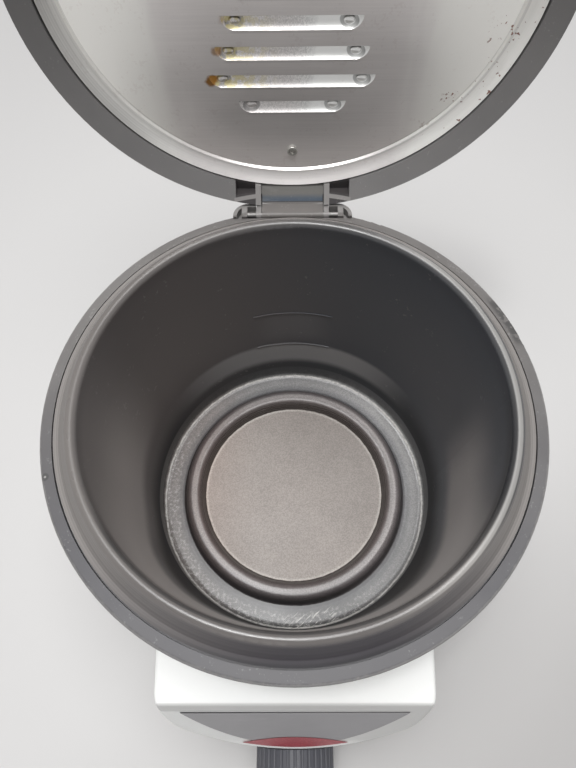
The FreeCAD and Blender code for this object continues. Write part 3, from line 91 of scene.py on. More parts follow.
def makeWorld():
    world = bpy.data.worlds.new("studio")
    world.use_nodes = True
    tree = world.node_tree
    tree.nodes.clear()
    output = tree.nodes.new("ShaderNodeOutputWorld")
    direction = tree.nodes.new("ShaderNodeSeparateXYZ")
    link = tree.links.new
    link(tree.nodes.new("ShaderNodeTexCoord").outputs["Generated"], direction.inputs[0])

    def softRoom(kind):
        # a room whose brightness changes sideways, front to back and up
        total, *growth = lighting[kind]
        for axis, amount in zip("XYZ", growth):
            total = mathNode(tree, "MULTIPLY_ADD", direction.outputs[axis], amount, total)
        shader = tree.nodes.new("ShaderNodeBackground")
        link(total, shader.inputs["Strength"])
        return shader

    light = softRoom("diffuse")
    reflected = softRoom("gloss")
    seen = tree.nodes.new("ShaderNodeBackground")
    feed(tree, lighting["backdrop"], seen.inputs["Color"])
    path = tree.nodes.new("ShaderNodeLightPath")
    mixGlossy = mixShaders(tree, path.outputs["Is Glossy Ray"], light, reflected)
    mixSeen = mixShaders(tree, path.outputs["Is Camera Ray"], mixGlossy, seen)
    link(mixSeen.outputs[0], output.inputs["Surface"])
    bpy.context.scene.world = world


def makeLights():
    for name, place, aim, size, watts in softboxes:
        data = bpy.data.lights.new(name, "AREA")
        data.shape = "DISK"
        data.size = size
        data.energy = watts
        lamp = bpy.data.objects.new(name, data)
        direction = Vector(aim) - Vector(place)
        turn = direction.to_track_quat("-Z", "Y").to_matrix().to_4x4()
        lamp.matrix_world = Matrix.Translation(place) @ turn
        bpy.context.collection.objects.link(lamp)


# helpers for node trees

def feed(tree, value, socket):
    # a number or a colour becomes the socket's own value, anything else is linked to it
    if isinstance(value, (int, float)):
        socket.default_value = value
    elif isinstance(value, tuple):
        socket.default_value = (*value, 1)
    else:
        tree.links.new(value, socket)


def mathNode(tree, operation, first, second=None, third=None, clamp=False):
    node = tree.nodes.new("ShaderNodeMath")
    node.operation = operation
    node.use_clamp = clamp
    for index, value in enumerate((first, second, third)):
        if value is not None:
            feed(tree, value, node.inputs[index])
    return node.outputs[0]


def mixShaders(tree, factor, first, second):
    node = tree.nodes.new("ShaderNodeMixShader")
    tree.links.new(factor, node.inputs["Fac"])
    tree.links.new(first.outputs[0], node.inputs[1])
    tree.links.new(second.outputs[0], node.inputs[2])
    return node


def noiseNode(tree, coordinates, scale, detail=2.0, roughness=0.5, distortion=0.0):
    node = tree.nodes.new("ShaderNodeTexNoise")
    tree.links.new(coordinates, node.inputs["Vector"])
    settings = {"Scale": scale, "Detail": detail, "Roughness": roughness, "Distortion": distortion}
    for label, value in settings.items():
        feed(tree, value, node.inputs[label])
    return node.outputs["Fac"]


def ramp(tree, value, low, high, fromValue=0.0, toValue=1.0, smooth=True):
    # a value mapped from one range to another, held at both ends
    node = tree.nodes.new("ShaderNodeMapRange")
    node.interpolation_type = "SMOOTHSTEP" if smooth else "LINEAR"
    node.clamp = True
    tree.links.new(value, node.inputs["Value"])
    settings = {"From Min": low, "From Max": high, "To Min": fromValue, "To Max": toValue}
    for label, number in settings.items():
        feed(tree, number, node.inputs[label])
    return node.outputs["Result"]


def stretched(tree, coordinates, scale, turn=(0, 0, 0)):
    node = tree.nodes.new("ShaderNodeMapping")
    tree.links.new(coordinates, node.inputs["Vector"])
    node.inputs["Scale"].default_value = scale
    node.inputs["Rotation"].default_value = turn
    return node.outputs["Vector"]


makeCamera()
makeWorld()
makeLights()
bpy.context.scene.view_settings.view_transform = "Standard"
print("stage: camera and light ready")


# shader groups that several materials share

def newGroup(name, inputs, outputs):
    # a group that takes coordinates and some numbers and gives numbers
    group = bpy.data.node_groups.new(name, "ShaderNodeTree")
    addSocket = group.interface.new_socket
    addSocket(name="Coordinates", in_out="INPUT", socket_type="NodeSocketVector")
    for label in inputs:
        addSocket(name=label, in_out="INPUT", socket_type="NodeSocketFloat")
    for label in outputs:
        addSocket(name=label, in_out="OUTPUT", socket_type="NodeSocketFloat")
    given = group.nodes.new("NodeGroupInput").outputs
    result = group.nodes.new("NodeGroupOutput").inputs
    return group, given, result


def makeGrainGroup():
    # fine moulded or sprayed grain: a height for bumps and a slow variation mask
    group, given, result = newGroup("fineGrain", ["Grain Scale", "Cloud Scale"], ["Height", "Cloud"])
    fine = noiseNode(group, given["Coordinates"], given["Grain Scale"], 3.0, 0.6)
    cloud = noiseNode(group, given["Coordinates"], given["Cloud Scale"], 4.0, 0.55)
    group.links.new(fine, result["Height"])
    group.links.new(ramp(group, cloud, 0.3, 0.7), result["Cloud"])
    return group


def makeSpeckGroup():
    # small separate specks whose number follows Amount
    patchScale, patchWeight, spotWeight, amountWeight = 0.18, 0.6, 0.7, 0.55
    group, given, result = newGroup("specks", ["Scale", "Amount", "Edge"], ["Mask"])
    spots = noiseNode(group, given["Coordinates"], given["Scale"])
    wider = mathNode(group, "MULTIPLY", given["Scale"], patchScale)
    patches = noiseNode(group, given["Coordinates"], wider)
    weighted = mathNode(group, "MULTIPLY", spots, spotWeight)
    blend = mathNode(group, "MULTIPLY_ADD", patches, patchWeight, weighted)
    level = mathNode(group, "SUBTRACT", 1.0, mathNode(group, "MULTIPLY", given["Amount"], amountWeight))
    top = mathNode(group, "ADD", level, given["Edge"])
    group.links.new(ramp(group, blend, level, top), result["Mask"])
    return group


def makeScratchGroup():
    # long fine scratches along X of the given coordinates
    start, amountWeight, edge = 0.8, 0.3, 0.04
    group, given, result = newGroup("scratches", ["Scale", "Stretch", "Amount"], ["Mask"])
    stretch = group.nodes.new("ShaderNodeCombineXYZ")
    group.links.new(given["Stretch"], stretch.inputs["X"])
    stretch.inputs["Y"].default_value = 1.0
    stretch.inputs["Z"].default_value = 1.0
    product = group.nodes.new("ShaderNodeVectorMath")
    product.operation = "MULTIPLY"
    group.links.new(given["Coordinates"], product.inputs[0])
    group.links.new(stretch.outputs[0], product.inputs[1])
    lines = noiseNode(group, product.outputs[0], given["Scale"], 3.0, 0.65)
    level = mathNode(group, "SUBTRACT", start, mathNode(group, "MULTIPLY", given["Amount"], amountWeight))
    top = mathNode(group, "ADD", level, edge)
    group.links.new(ramp(group, lines, level, top), result["Mask"])
    return group


grainGroup = makeGrainGroup()
speckGroup = makeSpeckGroup()
scratchGroup = makeScratchGroup()


class Finish:
    # a material under construction: its node tree, shader and coordinates

    def __init__(self, name, roughness=0.5, metallic=0.0, specular=0.5):
        self.material = bpy.data.materials.new(name)
        self.material.use_nodes = True
        self.tree = self.material.node_tree
        self.shader = self.tree.nodes["Principled BSDF"]
        self.level = roughness
        self.surface("Roughness", roughness)
        self.surface("Metallic", metallic)
        self.surface("Specular IOR Level", specular)
        self.place = self.tree.nodes.new("ShaderNodeTexCoord").outputs["Object"]

    def surface(self, label, value):
        feed(self.tree, value, self.shader.inputs[label])

    def color(self, value):
        self.surface("Base Color", value)

    def roughness(self, value):
        self.surface("Roughness", value)

    def uneven(self, mask, below=0.06, above=0.06):
        # roughness that follows a mask, from below to above the finish's own level
        self.roughness(ramp(self.tree, mask, 0.0, 1.0, self.level - below, self.level + above))

    def bump(self, height, strength=0.25, distance=0.00012):
        node = self.tree.nodes.new("ShaderNodeBump")
        node.inputs["Strength"].default_value = strength
        node.inputs["Distance"].default_value = distance
        feed(self.tree, height, node.inputs["Height"])
        self.tree.links.new(node.outputs["Normal"], self.shader.inputs["Normal"])

    def use(self, group, coordinates, values):
        node = self.tree.nodes.new("ShaderNodeGroup")
        node.node_tree = group
        self.tree.links.new(coordinates, node.inputs["Coordinates"])
        for label, value in values.items():
            feed(self.tree, value, node.inputs[label])
        return node.outputs

    def grain(self, grainScale=1700.0, cloudScale=22.0):
        # a fine height and a slow mask
        made = self.use(grainGroup, self.place, {"Grain Scale": grainScale, "Cloud Scale": cloudScale})
        return made["Height"], made["Cloud"]

    def specks(self, scale, amount, edge):
        return self.use(speckGroup, self.place, {"Scale": scale, "Amount": amount, "Edge": edge})["Mask"]

    def dusty(self, colour, amount):
        # a colour under the thin dust of moulded plastic
        return self.mix(self.product(self.specks(900.0, 0.35, 0.1), amount), colour, (0.5, 0.49, 0.47))

    def mix(self, factor, first, second, kind="MIX"):
        # colours may be tuples or sockets
        node = self.tree.nodes.new("ShaderNodeMix")
        node.data_type = "RGBA"
        node.blend_type = kind
        feed(self.tree, self.share(factor), node.inputs["Factor"])
        feed(self.tree, first, node.inputs["A"])
        feed(self.tree, second, node.inputs["B"])
        return node.outputs["Result"]

    def stops(self, value, low, high, marks):
        # a colour read off a row of (place, colour) marks between low and high
        node = self.tree.nodes.new("ShaderNodeValToRGB")
        node.color_ramp.interpolation = "EASE"
        elements = node.color_ramp.elements
        while len(elements) < len(marks):
            elements.new(0.5)
        places, colours = zip(*marks)
        for element, place in zip(elements, places):
            element.position = (place - low) / (high - low)
        for element, colour in zip(elements, colours):
            element.color = (*colour, 1)
        self.tree.links.new(ramp(self.tree, value, low, high, smooth=False), node.inputs["Fac"])
        return node.outputs["Color"]

    def value(self, operation, first, second=None, third=None):
        return mathNode(self.tree, operation, first, second, third)

    def plus(self, first, second):
        return self.value("ADD", first, second)

    def minus(self, first, second):
        return self.value("SUBTRACT", first, second)

    def scaled(self, value, factor, plus):
        # a value times a factor, plus something
        return self.value("MULTIPLY_ADD", value, factor, plus)

    def weighted(self, first, firstWeight, second, secondWeight):
        return self.scaled(first, firstWeight, self.value("MULTIPLY", second, secondWeight))

    def share(self, given):
        # a factor is a number, a socket or a tuple with what a ramp takes
        return ramp(self.tree, *given) if isinstance(given, tuple) else given

    def product(self, *factors):
        total = self.share(factors[0])
        for factor in factors[1:]:
            total = self.value("MULTIPLY", total, self.share(factor))
        return total

    def length(self, first, second):
        return self.value("SQRT", self.weighted(first, first, second, second))

    def distance(self, first, firstMiddle, second, secondMiddle):
        return self.length(self.minus(first, firstMiddle), self.minus(second, secondMiddle))

    def axes(self):
        node = self.tree.nodes.new("ShaderNodeSeparateXYZ")
        self.tree.links.new(self.place, node.inputs[0])
        return node.outputs["X"], node.outputs["Y"], node.outputs["Z"]

    def radius(self):
        # the distance from the upright middle axis, and the axes
        x, y, z = self.axes()
        return self.length(y, x), x, y, z

    def rings(self, radius, scale):
        # uneven fine lines that run round the middle
        node = self.tree.nodes.new("ShaderNodeCombineXYZ")
        self.tree.links.new(radius, node.inputs["X"])
        return noiseNode(self.tree, node.outputs[0], scale, 2.0, 0.6)

    def band(self, value, low, high, soft):
        # 1 between low and high
        rise = ramp(self.tree, value, low - soft, low)
        fall = ramp(self.tree, value, high, high + soft, 1.0, 0.0)
        return self.value("MULTIPLY", rise, fall)


def makeObject(name, mesh, finish):
    data = bpy.data.meshes.new(name)
    mesh.to_mesh(data)
    mesh.free()
    data.materials.append(finish.material)
    made = bpy.data.objects.new(name, data)
    bpy.context.collection.objects.link(made)
    return made


floorPlan = {
    "halfWidth": 6.0,
    "shadeGrowth": (0.6, -0.9),     # how the shade grows to +X and +Y
    "shadeRange": (0.03, 0.27),
    "shadeEnd": (0.35, 0.6),
    "fade": (0.42, 1.25),           # from here on the floor runs into the backdrop
}


def makeFloor():
    mesh = bmesh.new()
    bmesh.ops.create_grid(mesh, x_segments=2, y_segments=2, size=floorPlan["halfWidth"])
    finish = Finish("floorMatte", 0.9, specular=0.1)
    floor = makeObject("floor", mesh, finish)
    tree = finish.tree
    radius, x, y, _ = finish.radius()
    growthX, growthY = floorPlan["shadeGrowth"]
    shade = ramp(tree, finish.weighted(x, growthX, y, growthY), *floorPlan["shadeRange"])
    shade = finish.product(shade, (radius, *floorPlan["shadeEnd"], 1.0, 0.0))
    finish.color(finish.mix(shade, lighting["floorColor"], lighting["floorShade"]))
    path = tree.nodes.new("ShaderNodeLightPath")
    seen = finish.plus(path.outputs["Is Camera Ray"], path.outputs["Is Glossy Ray"])
    seen = mathNode(tree, "ADD", seen, path.outputs["Is Transmission Ray"], clamp=True)
    backdrop = tree.nodes.new("ShaderNodeEmission")
    feed(tree, lighting["backdrop"], backdrop.inputs["Color"])
    far = finish.product(seen, (radius, *floorPlan["fade"]))
    fade = mixShaders(tree, far, finish.shader, backdrop)
    tree.links.new(fade.outputs[0], tree.nodes["Material Output"].inputs["Surface"])


makeFloor()
print("stage: floor ready")


# finishes; places are metres along the frame's axes, and two of them are a change's start and end

shellPaint = {
    "color": (0.93, 0.935, 0.925),
    "aged": (0.915, 0.918, 0.902),
    "paintedShade": (0.36, 0.35, 0.345),
    "dust": (0.5, 0.48, 0.45),
    "dustAmount": 0.02,
    "roughness": 0.28,
    # the front slope's painted shade
    "slopeDirection": (-0.9, 0.44),
    "slopeReach": (0.1672, 0.1682),
    "slopeFront": (-0.124, -0.128),
    "slopeFoot": (0.076, 0.082),
    "slopeTop": (0.1113, 0.1125),
    "shadeAcross": (-0.055, 0.06),
    "shadeAmount": (0.12, 0.5),
}


def shellWhite():
    finish = Finish("shellWhite", shellPaint["roughness"])
    tree = finish.tree
    height, cloud = finish.grain(900.0, 9.0)
    dust = finish.specks(800.0, 0.24, 0.1)
    aged = finish.mix(cloud, shellPaint["color"], shellPaint["aged"])
    # painted shade on the front slope, greyer towards the right and under its upper edge
    x, y, z = finish.axes()
    outward, upward = shellPaint["slopeDirection"]
    reach = ramp(tree, finish.weighted(y, outward, z, upward), *shellPaint["slopeReach"])
    front = ramp(tree, y, *shellPaint["slopeFront"])
    slope = finish.product(reach, front, (z, *shellPaint["slopeFoot"]))
    least, most = shellPaint["shadeAmount"]
    paintedShade = ramp(tree, x, *shellPaint["shadeAcross"], least, most)
    paintedShade = finish.value("MAXIMUM", paintedShade, ramp(tree, z, *shellPaint["slopeTop"], 0.0, most))
    aged = finish.mix(finish.product(slope, paintedShade), aged, shellPaint["paintedShade"])
    finish.color(finish.mix(finish.product(dust, shellPaint["dustAmount"]), aged, shellPaint["dust"]))
    finish.uneven(cloud, -0.005, 0.02)
    finish.bump(height, 0.05, 0.00008)
    return finish


def moulded(name, color, lighter, roughness=0.5, grainScale=1700.0, bump=0.25):
    # matte moulded plastic with its grain and slow variation
    finish = Finish(name, roughness)
    height, cloud = finish.grain(grainScale)
    finish.color(finish.dusty(finish.mix(cloud, color, lighter), 0.12))
    finish.uneven(cloud)
    finish.bump(height, bump)
    return finish


bowlLook = {
    # the coating is painted lighter on the left and darker on the right, as light and shade
    "coatingLeft": (0.118, 0.106, 0.104),
    "coatingRight": (0.058, 0.064, 0.075),
    # dark of painted shade at the wall's foot and front, the bead and the flange's edge, also used for the
    # flange's fine turned lines
    "darkShadeAndLines": (0.018, 0.018, 0.02),
    "litLeft": (0.4, 0.372, 0.36),
    "litRight": (0.29, 0.272, 0.268),
    "litFront": (0.43, 0.4, 0.385),
    "rearArc": (0.33, 0.325, 0.325),
    # pale colour of wear, crumbs and hairlines, and of the painted highlights on the bead's crest and along
    # the floor's border
    "paleMark": (0.72, 0.70, 0.67),
    "roughness": 0.33,
    "sideways": (-0.08, 0.06),
}

# the lit band and arcs on the bowl's wall: where they start and end along x, y or the height
wallLight = {
    "dimFront": (-0.03, -0.07),
    "litFront": (-0.015, -0.085),
    "frontRise": (-0.02, -0.085, 0.0, 0.045),   # the band starts 45 mm higher at the front
    "rightRise": (0.02, 0.07, 0.0, 0.009),
    "rightSide": (0.02, 0.06),
    "rightDepth": (-0.07, -0.04),
    "start": (0.08, 0.1),
    "fadeLeft": (0.12, 0.19, 1.0, 0.3),
    "fadeRight": (0.125, 0.175, 1.0, 0.0),
    "reachLeft": (0.045, -0.015),
    "reachRight": (0.02, -0.02),
    "foot": (0.05, 0.084, 1.0, 0.0),
    "footDepth": (0.085, 0.03, 0.6, 1.0),
    "arcDepth": (0.045, 0.09),
    "arcStart": (0.058, 0.067),
    "arcEnd": (0.0868, 0.0815),
    "arcAmount": 0.9,
    "upperArcSide": (-0.008, 0.008, 0.022),
    "upperArcDepth": (0.05, 0.07),
    "upperArcStart": (0.0848, 0.1),
    "upperArcEnd": (0.1206, 0.119),
    "upperArcAmount": 0.14,
    "crumbAmount": 0.1,
}


def bowlWall(finish, across, x, y, z):
    # painted light and shade: darkest at its foot, darker at the front and on the right, lighter on the
    # left and in a band on the front half; also gives the foot's mask
    tree, light = finish.tree, wallLight
    wall = finish.mix(across, bowlLook["coatingLeft"], bowlLook["coatingRight"])
    wall = finish.mix((y, *light["dimFront"]), wall, bowlLook["darkShadeAndLines"])
    rise = finish.plus(ramp(tree, y, *light["frontRise"]), ramp(tree, x, *light["rightRise"]))
    height = finish.minus(z, rise)
    lit = finish.mix(across, bowlLook["litLeft"], bowlLook["litRight"])
    lit = finish.mix((y, *light["litFront"]), lit, bowlLook["litFront"])
    onRight = finish.product((x, *light["rightSide"]), (y, *light["rightDepth"]))
    fadeLeft, fadeRight = (ramp(tree, height, *light[key]) for key in ("fadeLeft", "fadeRight"))
    reachLeft, reachRight = (ramp(tree, y, *light[key]) for key in ("reachLeft", "reachRight"))
    fade = finish.mix(onRight, fadeLeft, fadeRight)
    reach = finish.mix(onRight, reachLeft, reachRight)
    litBand = finish.product((height, *light["start"]), fade, reach)
    foot = finish.product((height, *light["foot"]), (y, *light["footDepth"]))
    wall = finish.mix(foot, finish.mix(litBand, wall, lit), bowlLook["darkShadeAndLines"])
    # soft light arc at the rear, under the lower fill line, and a faint one under the upper line
    arc = finish.product(
        (y, *light["arcDepth"]), (z, *light["arcStart"]), (z, *light["arcEnd"]), light["arcAmount"])
    wall = finish.mix(arc, wall, bowlLook["rearArc"])
    arc = finish.product(
        finish.band(x, *light["upperArcSide"]), (y, *light["upperArcDepth"]),
        (z, *light["upperArcStart"]), (z, *light["upperArcEnd"]), light["upperArcAmount"])
    wall = finish.mix(arc, wall, bowlLook["rearArc"])
    crumbs = finish.product(finish.specks(420.0, 0.3, 0.04), light["crumbAmount"])
    return finish.mix(crumbs, wall, bowlLook["paleMark"]), foot


rimLook = {
    # flange and bead colours are painted light and shade: pale at the flange's sides, dark at its front,
    # the bead lighter on the left than on the right and at the front
    "flangeFront": (0.052, 0.047, 0.054),
    "flangeSide": (0.25, 0.233, 0.222),
    "beadLeft": (0.145, 0.133, 0.125),
    "beadRight": (0.07, 0.067, 0.065),
    "beadFront": (0.07, 0.063, 0.06),
    "rimHeight": (0.1885, 0.1895),
    "beadHeight": (0.196, 0.2025),
    "flangeRadius": (0.1045, 0.1065),
    # the flange's painted shade at the front: where it starts from behind, from the left and from the right
    "frontDepth": (-0.05, -0.085),
    "frontLeft": (-0.11, 0.0),
    "frontRight": (0.11, 0.03),
    "outerEdge": (0.111, 0.1124),
    "beadFrontDepth": (-0.05, -0.095),
    # painted highlight along the bead's crest on the right
    "crestRadius": (0.1024, 0.1040, 0.0007),
    "crestSide": (0.03, 0.075),
    "crestAmount": 0.38,
    # the shadow where the bead meets the wall
    "shadowRadius": (0.0996, 0.1012, 0.0007),
    "shadowHeight": (0.188, 0.196),
    "shadowDepth": (0.03, -0.04, 0.15, 0.68),
    "shadowSide": (-0.075, -0.09, 1.0, 0.4),
}


def bowlFlange(finish, radius, x, y):
    # side and front of the flange, the front and the outer edge in painted shade, with its fine turned
    # lines
    front = finish.product(
        (y, *rimLook["frontDepth"]), (x, *rimLook["frontLeft"]), (x, *rimLook["frontRight"]))
    flange = finish.mix(front, rimLook["flangeSide"], rimLook["flangeFront"])
    outerEdge = finish.product(front, (radius, *rimLook["outerEdge"]), 0.6)
    flange = finish.mix(outerEdge, flange, bowlLook["darkShadeAndLines"])
    turned = finish.rings(radius, 1300.0)
    return finish.mix((turned, 0.35, 0.65, 0.25, 0.0), flange, bowlLook["darkShadeAndLines"])


def bowlBead(finish, across, onBead, aboveRim, wall, radius, x, y, z):
    # the rolled edge, painted lighter on the left than on the right and front, with a painted highlight
    # along its crest on the right and painted shadow where it meets the wall
    bead = finish.mix(across, rimLook["beadLeft"], rimLook["beadRight"])
    bead = finish.mix((y, *rimLook["beadFrontDepth"]), bead, rimLook["beadFront"])
    crest = finish.product(
        finish.band(radius, *rimLook["crestRadius"]), (x, *rimLook["crestSide"]), aboveRim,
        rimLook["crestAmount"])
    bead = finish.mix(onBead, wall, finish.mix(crest, bead, bowlLook["paleMark"]))
    shadow = finish.product(
        finish.band(radius, *rimLook["shadowRadius"]), (z, *rimLook["shadowHeight"]),
        (y, *rimLook["shadowDepth"]), (x, *rimLook["shadowSide"]))
    return finish.mix(shadow, bead, bowlLook["darkShadeAndLines"])


floorLook = {
    # colours by distance from the middle; the raised ring's pale crest is a painted highlight, and the dark
    # rings at its feet, on its flanks and at the floor's outer corner are painted shade
    "colours": [
        (0.0, (0.325, 0.285, 0.26)), (0.0592, (0.325, 0.287, 0.262)), (0.0609, (0.52, 0.48, 0.44)),
        (0.0615, (0.04, 0.03, 0.028)), (0.0638, (0.058, 0.045, 0.043)), (0.0660, (0.15, 0.128, 0.124)),
        (0.0679, (0.25, 0.228, 0.222)), (0.0692, (0.25, 0.228, 0.222)), (0.0710, (0.12, 0.107, 0.107)),
        (0.0740, (0.06, 0.052, 0.052)), (0.0770, (0.045, 0.043, 0.046)), (0.0785, (0.17, 0.168, 0.172)),
        (0.0830, (0.27, 0.264, 0.262)), (0.0872, (0.235, 0.23, 0.23)), (0.0893, (0.26, 0.255, 0.25)),
        (0.0912, (0.05, 0.05, 0.052))],
    "widest": 0.1,
    "height": (0.0515, 0.0535, 1.0, 0.0),
    "warm": (1.0, 0.91, 0.87),
    "warmSide": (-0.02, -0.07),
    "discRadius": (0.061, 0.062, 1.0, 0.0),
    "discEdge": (0.0612, 0.0606),
    "discShade": -0.2,
    "borderEdge": (0.0675, 0.07),
    "borderSide": (0.015, 0.06),
    "borderShade": 0.45,
    "groove": (0.0618, 0.0648, 0.0004),
    "hairlineAmount": 0.22,
    "borderLine": (0.0887, 0.0893, 0.0004),
    "borderLineAmount": 0.8,
    "border": (0.0815, 0.0885, 0.003),
    "wornAmount": 0.4,
    "scratchTurn": -0.75,
    "scratchAmount": 0.75,
}


def bowlFloor(finish, mottle, unevenRadius, radius, x, y):
    # rings of colour, mottled and shaded, with the groove's hairlines and a broken pale line along the
    # border, a painted highlight on the corner broken up like rubbed wear
    tree = finish.tree
    floor = finish.stops(unevenRadius, 0.0, floorLook["widest"], floorLook["colours"])
    wide = noiseNode(tree, finish.place, 60.0, 3.0, 0.6)
    clouds = ramp(tree, wide, 0.3, 0.7, 0.74, 0.82)
    shade = finish.scaled(ramp(tree, mottle, 0.36, 0.64), 0.34, clouds)
    # painted shade: darker at the front border and next to the front wall; the disc is painted darker to
    # the back right and the border lighter to the right
    frontBorder = finish.product((y, 0.075, -0.075), (radius, 0.0775, 0.08))
    frontWall = ramp(tree, y, -0.066, -0.084, 0.0, 0.19)
    shade = finish.product(shade, finish.minus(finish.scaled(frontBorder, -0.46, 1.0), frontWall))
    diagonal = ramp(tree, finish.plus(x, y), -0.03, 0.08)
    disc = finish.product((radius, *floorLook["discEdge"]), diagonal, floorLook["discShade"])
    border = finish.product(
        (radius, *floorLook["borderEdge"]), (x, *floorLook["borderSide"]), floorLook["borderShade"])
    sides = finish.plus(finish.plus(disc, border), 1.0)
    floor = finish.mix(1.0, floor, finish.product(shade, sides), "MULTIPLY")
    floor = finish.mix((x, *floorLook["warmSide"]), floor, floorLook["warm"], "MULTIPLY")
    hairlines = finish.product(
        finish.band(radius, *floorLook["groove"]), (finish.rings(unevenRadius, 3600.0), 0.52, 0.6),
        floorLook["hairlineAmount"])
    floor = finish.mix(hairlines, floor, bowlLook["paleMark"])
    broken = noiseNode(tree, finish.place, 500.0, 4.0, 0.7)
    line = finish.product(
        finish.band(unevenRadius, *floorLook["borderLine"]), (broken, 0.36, 0.56, 0.35, 1.0),
        floorLook["borderLineAmount"])
    return finish.mix(line, floor, bowlLook["paleMark"])


def bowlWear(finish, colour, onFloor, unevenRadius, x, y):
    # worn specks inside the border, most of them towards the front left, and scratches at the front
    tree = finish.tree
    towards = finish.weighted(x, -0.75, y, -0.8)
    amount = ramp(tree, towards, -0.05, 0.07, 0.36, 0.55)
    border = finish.band(unevenRadius, *floorLook["border"])
    paleMark = finish.product(finish.specks(2600.0, amount, 0.05), border, onFloor, floorLook["wornAmount"])
    colour = finish.mix(paleMark, colour, bowlLook["paleMark"])
    turned = stretched(tree, finish.place, (1, 1, 1), turn=(0, 0, floorLook["scratchTurn"]))
    scratch = finish.use(scratchGroup, turned, {"Scale": 800.0, "Stretch": 0.12, "Amount": 0.75})["Mask"]
    frontFloor = finish.product(onFloor, (y, -0.06, -0.08), (x, -0.012, 0.004), (x, 0.032, 0.02), border)
    scratched = finish.product(scratch, frontFloor, floorLook["scratchAmount"])
    return finish.mix(scratched, colour, bowlLook["paleMark"])


def bowlCoating():
    finish = Finish("bowlCoating", bowlLook["roughness"])
    tree = finish.tree
    radius, x, y, z = finish.radius()
    height, cloud = finish.grain(1500.0, 9.0)
    across = ramp(tree, x, *bowlLook["sideways"])
    aboveRim = ramp(tree, z, *rimLook["rimHeight"])
    onBead = ramp(tree, z, *rimLook["beadHeight"])
    onFloor = ramp(tree, z, *floorLook["height"])
    outside = finish.product((radius, *rimLook["flangeRadius"]), aboveRim)
    # the floor's rings are a little uneven, and the outer ones lie further out at the front
    frontShift = finish.product((y, 0.0, -0.055), (radius, 0.074, 0.079), 0.0011)
    shifted = finish.minus(radius, finish.plus(0.00045, frontShift))
    unevenRadius = finish.scaled(noiseNode(tree, finish.place, 220.0, 3.0), 0.0009, shifted)
    mottle = noiseNode(tree, finish.place, 1250.0, 2.0, 0.8)
    wall, foot = bowlWall(finish, across, x, y, z)
    bead = bowlBead(finish, across, onBead, aboveRim, wall, radius, x, y, z)
    colour = finish.mix(outside, bead, bowlFlange(finish, radius, x, y))
    colour = finish.mix(onFloor, colour, bowlFloor(finish, mottle, unevenRadius, radius, x, y))
    finish.color(bowlWear(finish, colour, onFloor, unevenRadius, x, y))
    # the disc and the wall's foot are duller, the bead is glossier
    smooth = ramp(tree, cloud, 0.0, 1.0, finish.level - 0.03, finish.level + 0.04)
    rough = finish.scaled(finish.product((radius, *floorLook["discRadius"]), onFloor), 0.15, smooth)
    footOnly = finish.product(foot, finish.minus(1.0, onFloor))
    rough = finish.scaled(footOnly, 0.3, rough)
    finish.roughness(finish.scaled(onBead, -0.1, rough))
    finish.bump(finish.plus(height, finish.product(mottle, onFloor)), 0.25, 0.0001)
    return finish


plateLook = {
    "steel": (0.86, 0.825, 0.81),
    # the lighter sides and the bright louvres are painted reflections; the dark tone below is painted shade
    # on the step and the dished edge
    "sides": (1.0, 0.99, 0.95),
    "bright": (1.0, 1.0, 0.98),
    "dull": (0.3, 0.29, 0.28),
    "metallic": 0.72,
    "roughness": 0.36,
    "residue": (0.62, 0.54, 0.26),
    "burnt": (0.36, 0.16, 0.02),
    "dirt": (0.2, 0.06, 0.035),
    "middleHeight": 0.3055,     # middle of the plate, with the lid open
    "leaning": 0.9987,          # height of the leaning plate against its own length
    "lean": 2.89,               # degrees
    "face": (0.13754, 0.26163),     # depth and height of a point on the flat face
    "dishRadius": (0.0983, 0.1003),
    "rowHeight": 0.2447,        # middle of the louvre row next to the hinge, with the lid open
    "rowPitch": 0.01368,
    "rows": 10,
    "longest": 0.043,           # half length, less the shortening for each row in from an end
    "shortening": 0.004,
    "outermost": 0.026,         # half length in the first and the last row
    "louvreWidth": 0.0063,
    "dimpleInset": 0.0060,      # dimple's middle from the louvre's end
    "dimple": (0.0027, 0.0015, 0.0019),
    "dimpleSink": 0.0024,       # dimple's middle behind the flat face
    "dimpleCut": 0.0003,        # what lies this far behind a dimple's middle is cut away
    # burnt spots: x, height, size, strength
    "spots": [
        (-0.0380, 0.2586, 0.0034, 0.95), (-0.0342, 0.2731, 0.0026, 0.7), (-0.0305, 0.2868, 0.002, 0.3)],
}


def brushedSteel(name, color, roughness, direction, contrast=0.86, metallic=1.0):
    finish = Finish(name, roughness, metallic)
    tree = finish.tree
    streaks = noiseNode(tree, stretched(tree, finish.place, direction), 900.0, 4.0, 0.7)
    clouds = noiseNode(tree, finish.place, 30.0, 3.0, 0.6)
    darker = tuple(c * contrast for c in color)
    finish.steel = finish.mix((streaks, 0.3, 0.7), darker, color)
    finish.color(finish.steel)
    finish.roughness(finish.scaled(clouds, 0.16, roughness - 0.08))
    finish.bump(streaks, 0.08, 0.00005)
    return finish


def platePlain(finish, away, radius, x, z):
    # steel with lighter sides as a painted reflection, painted shade on the step round the flat middle, and
    # a dished edge with turned lines and painted shade, most towards its upper left
    tree = finish.tree
    streaky = noiseNode(tree, stretched(tree, finish.place, (1, 1, 0.12)), 70.0, 3.0, 0.6)
    edgeOfSides = finish.scaled(streaky, 0.03, away)
    colour = finish.mix((edgeOfSides, 0.062, 0.088), finish.steel, plateLook["sides"])
    step = finish.band(radius, *plateLook["dishRadius"], 0.0003)
    colour = finish.mix(finish.product(step, 0.25), colour, plateLook["dull"])
    lines = ramp(tree, finish.rings(radius, 1500.0), 0.35, 0.65)
    upperLeft = finish.product((x, -0.02, -0.08), (z, 0.205, 0.245))
    upperLeft = finish.scaled(upperLeft, 0.62, 0.12)
    lined = finish.scaled(lines, 0.25, ramp(tree, radius, 0.1005, 0.1045, 0.3, 0.7))
    dished = finish.product((radius, 0.1, 0.1006), upperLeft, lined)
    return finish.mix(dished, colour, plateLook["dull"])


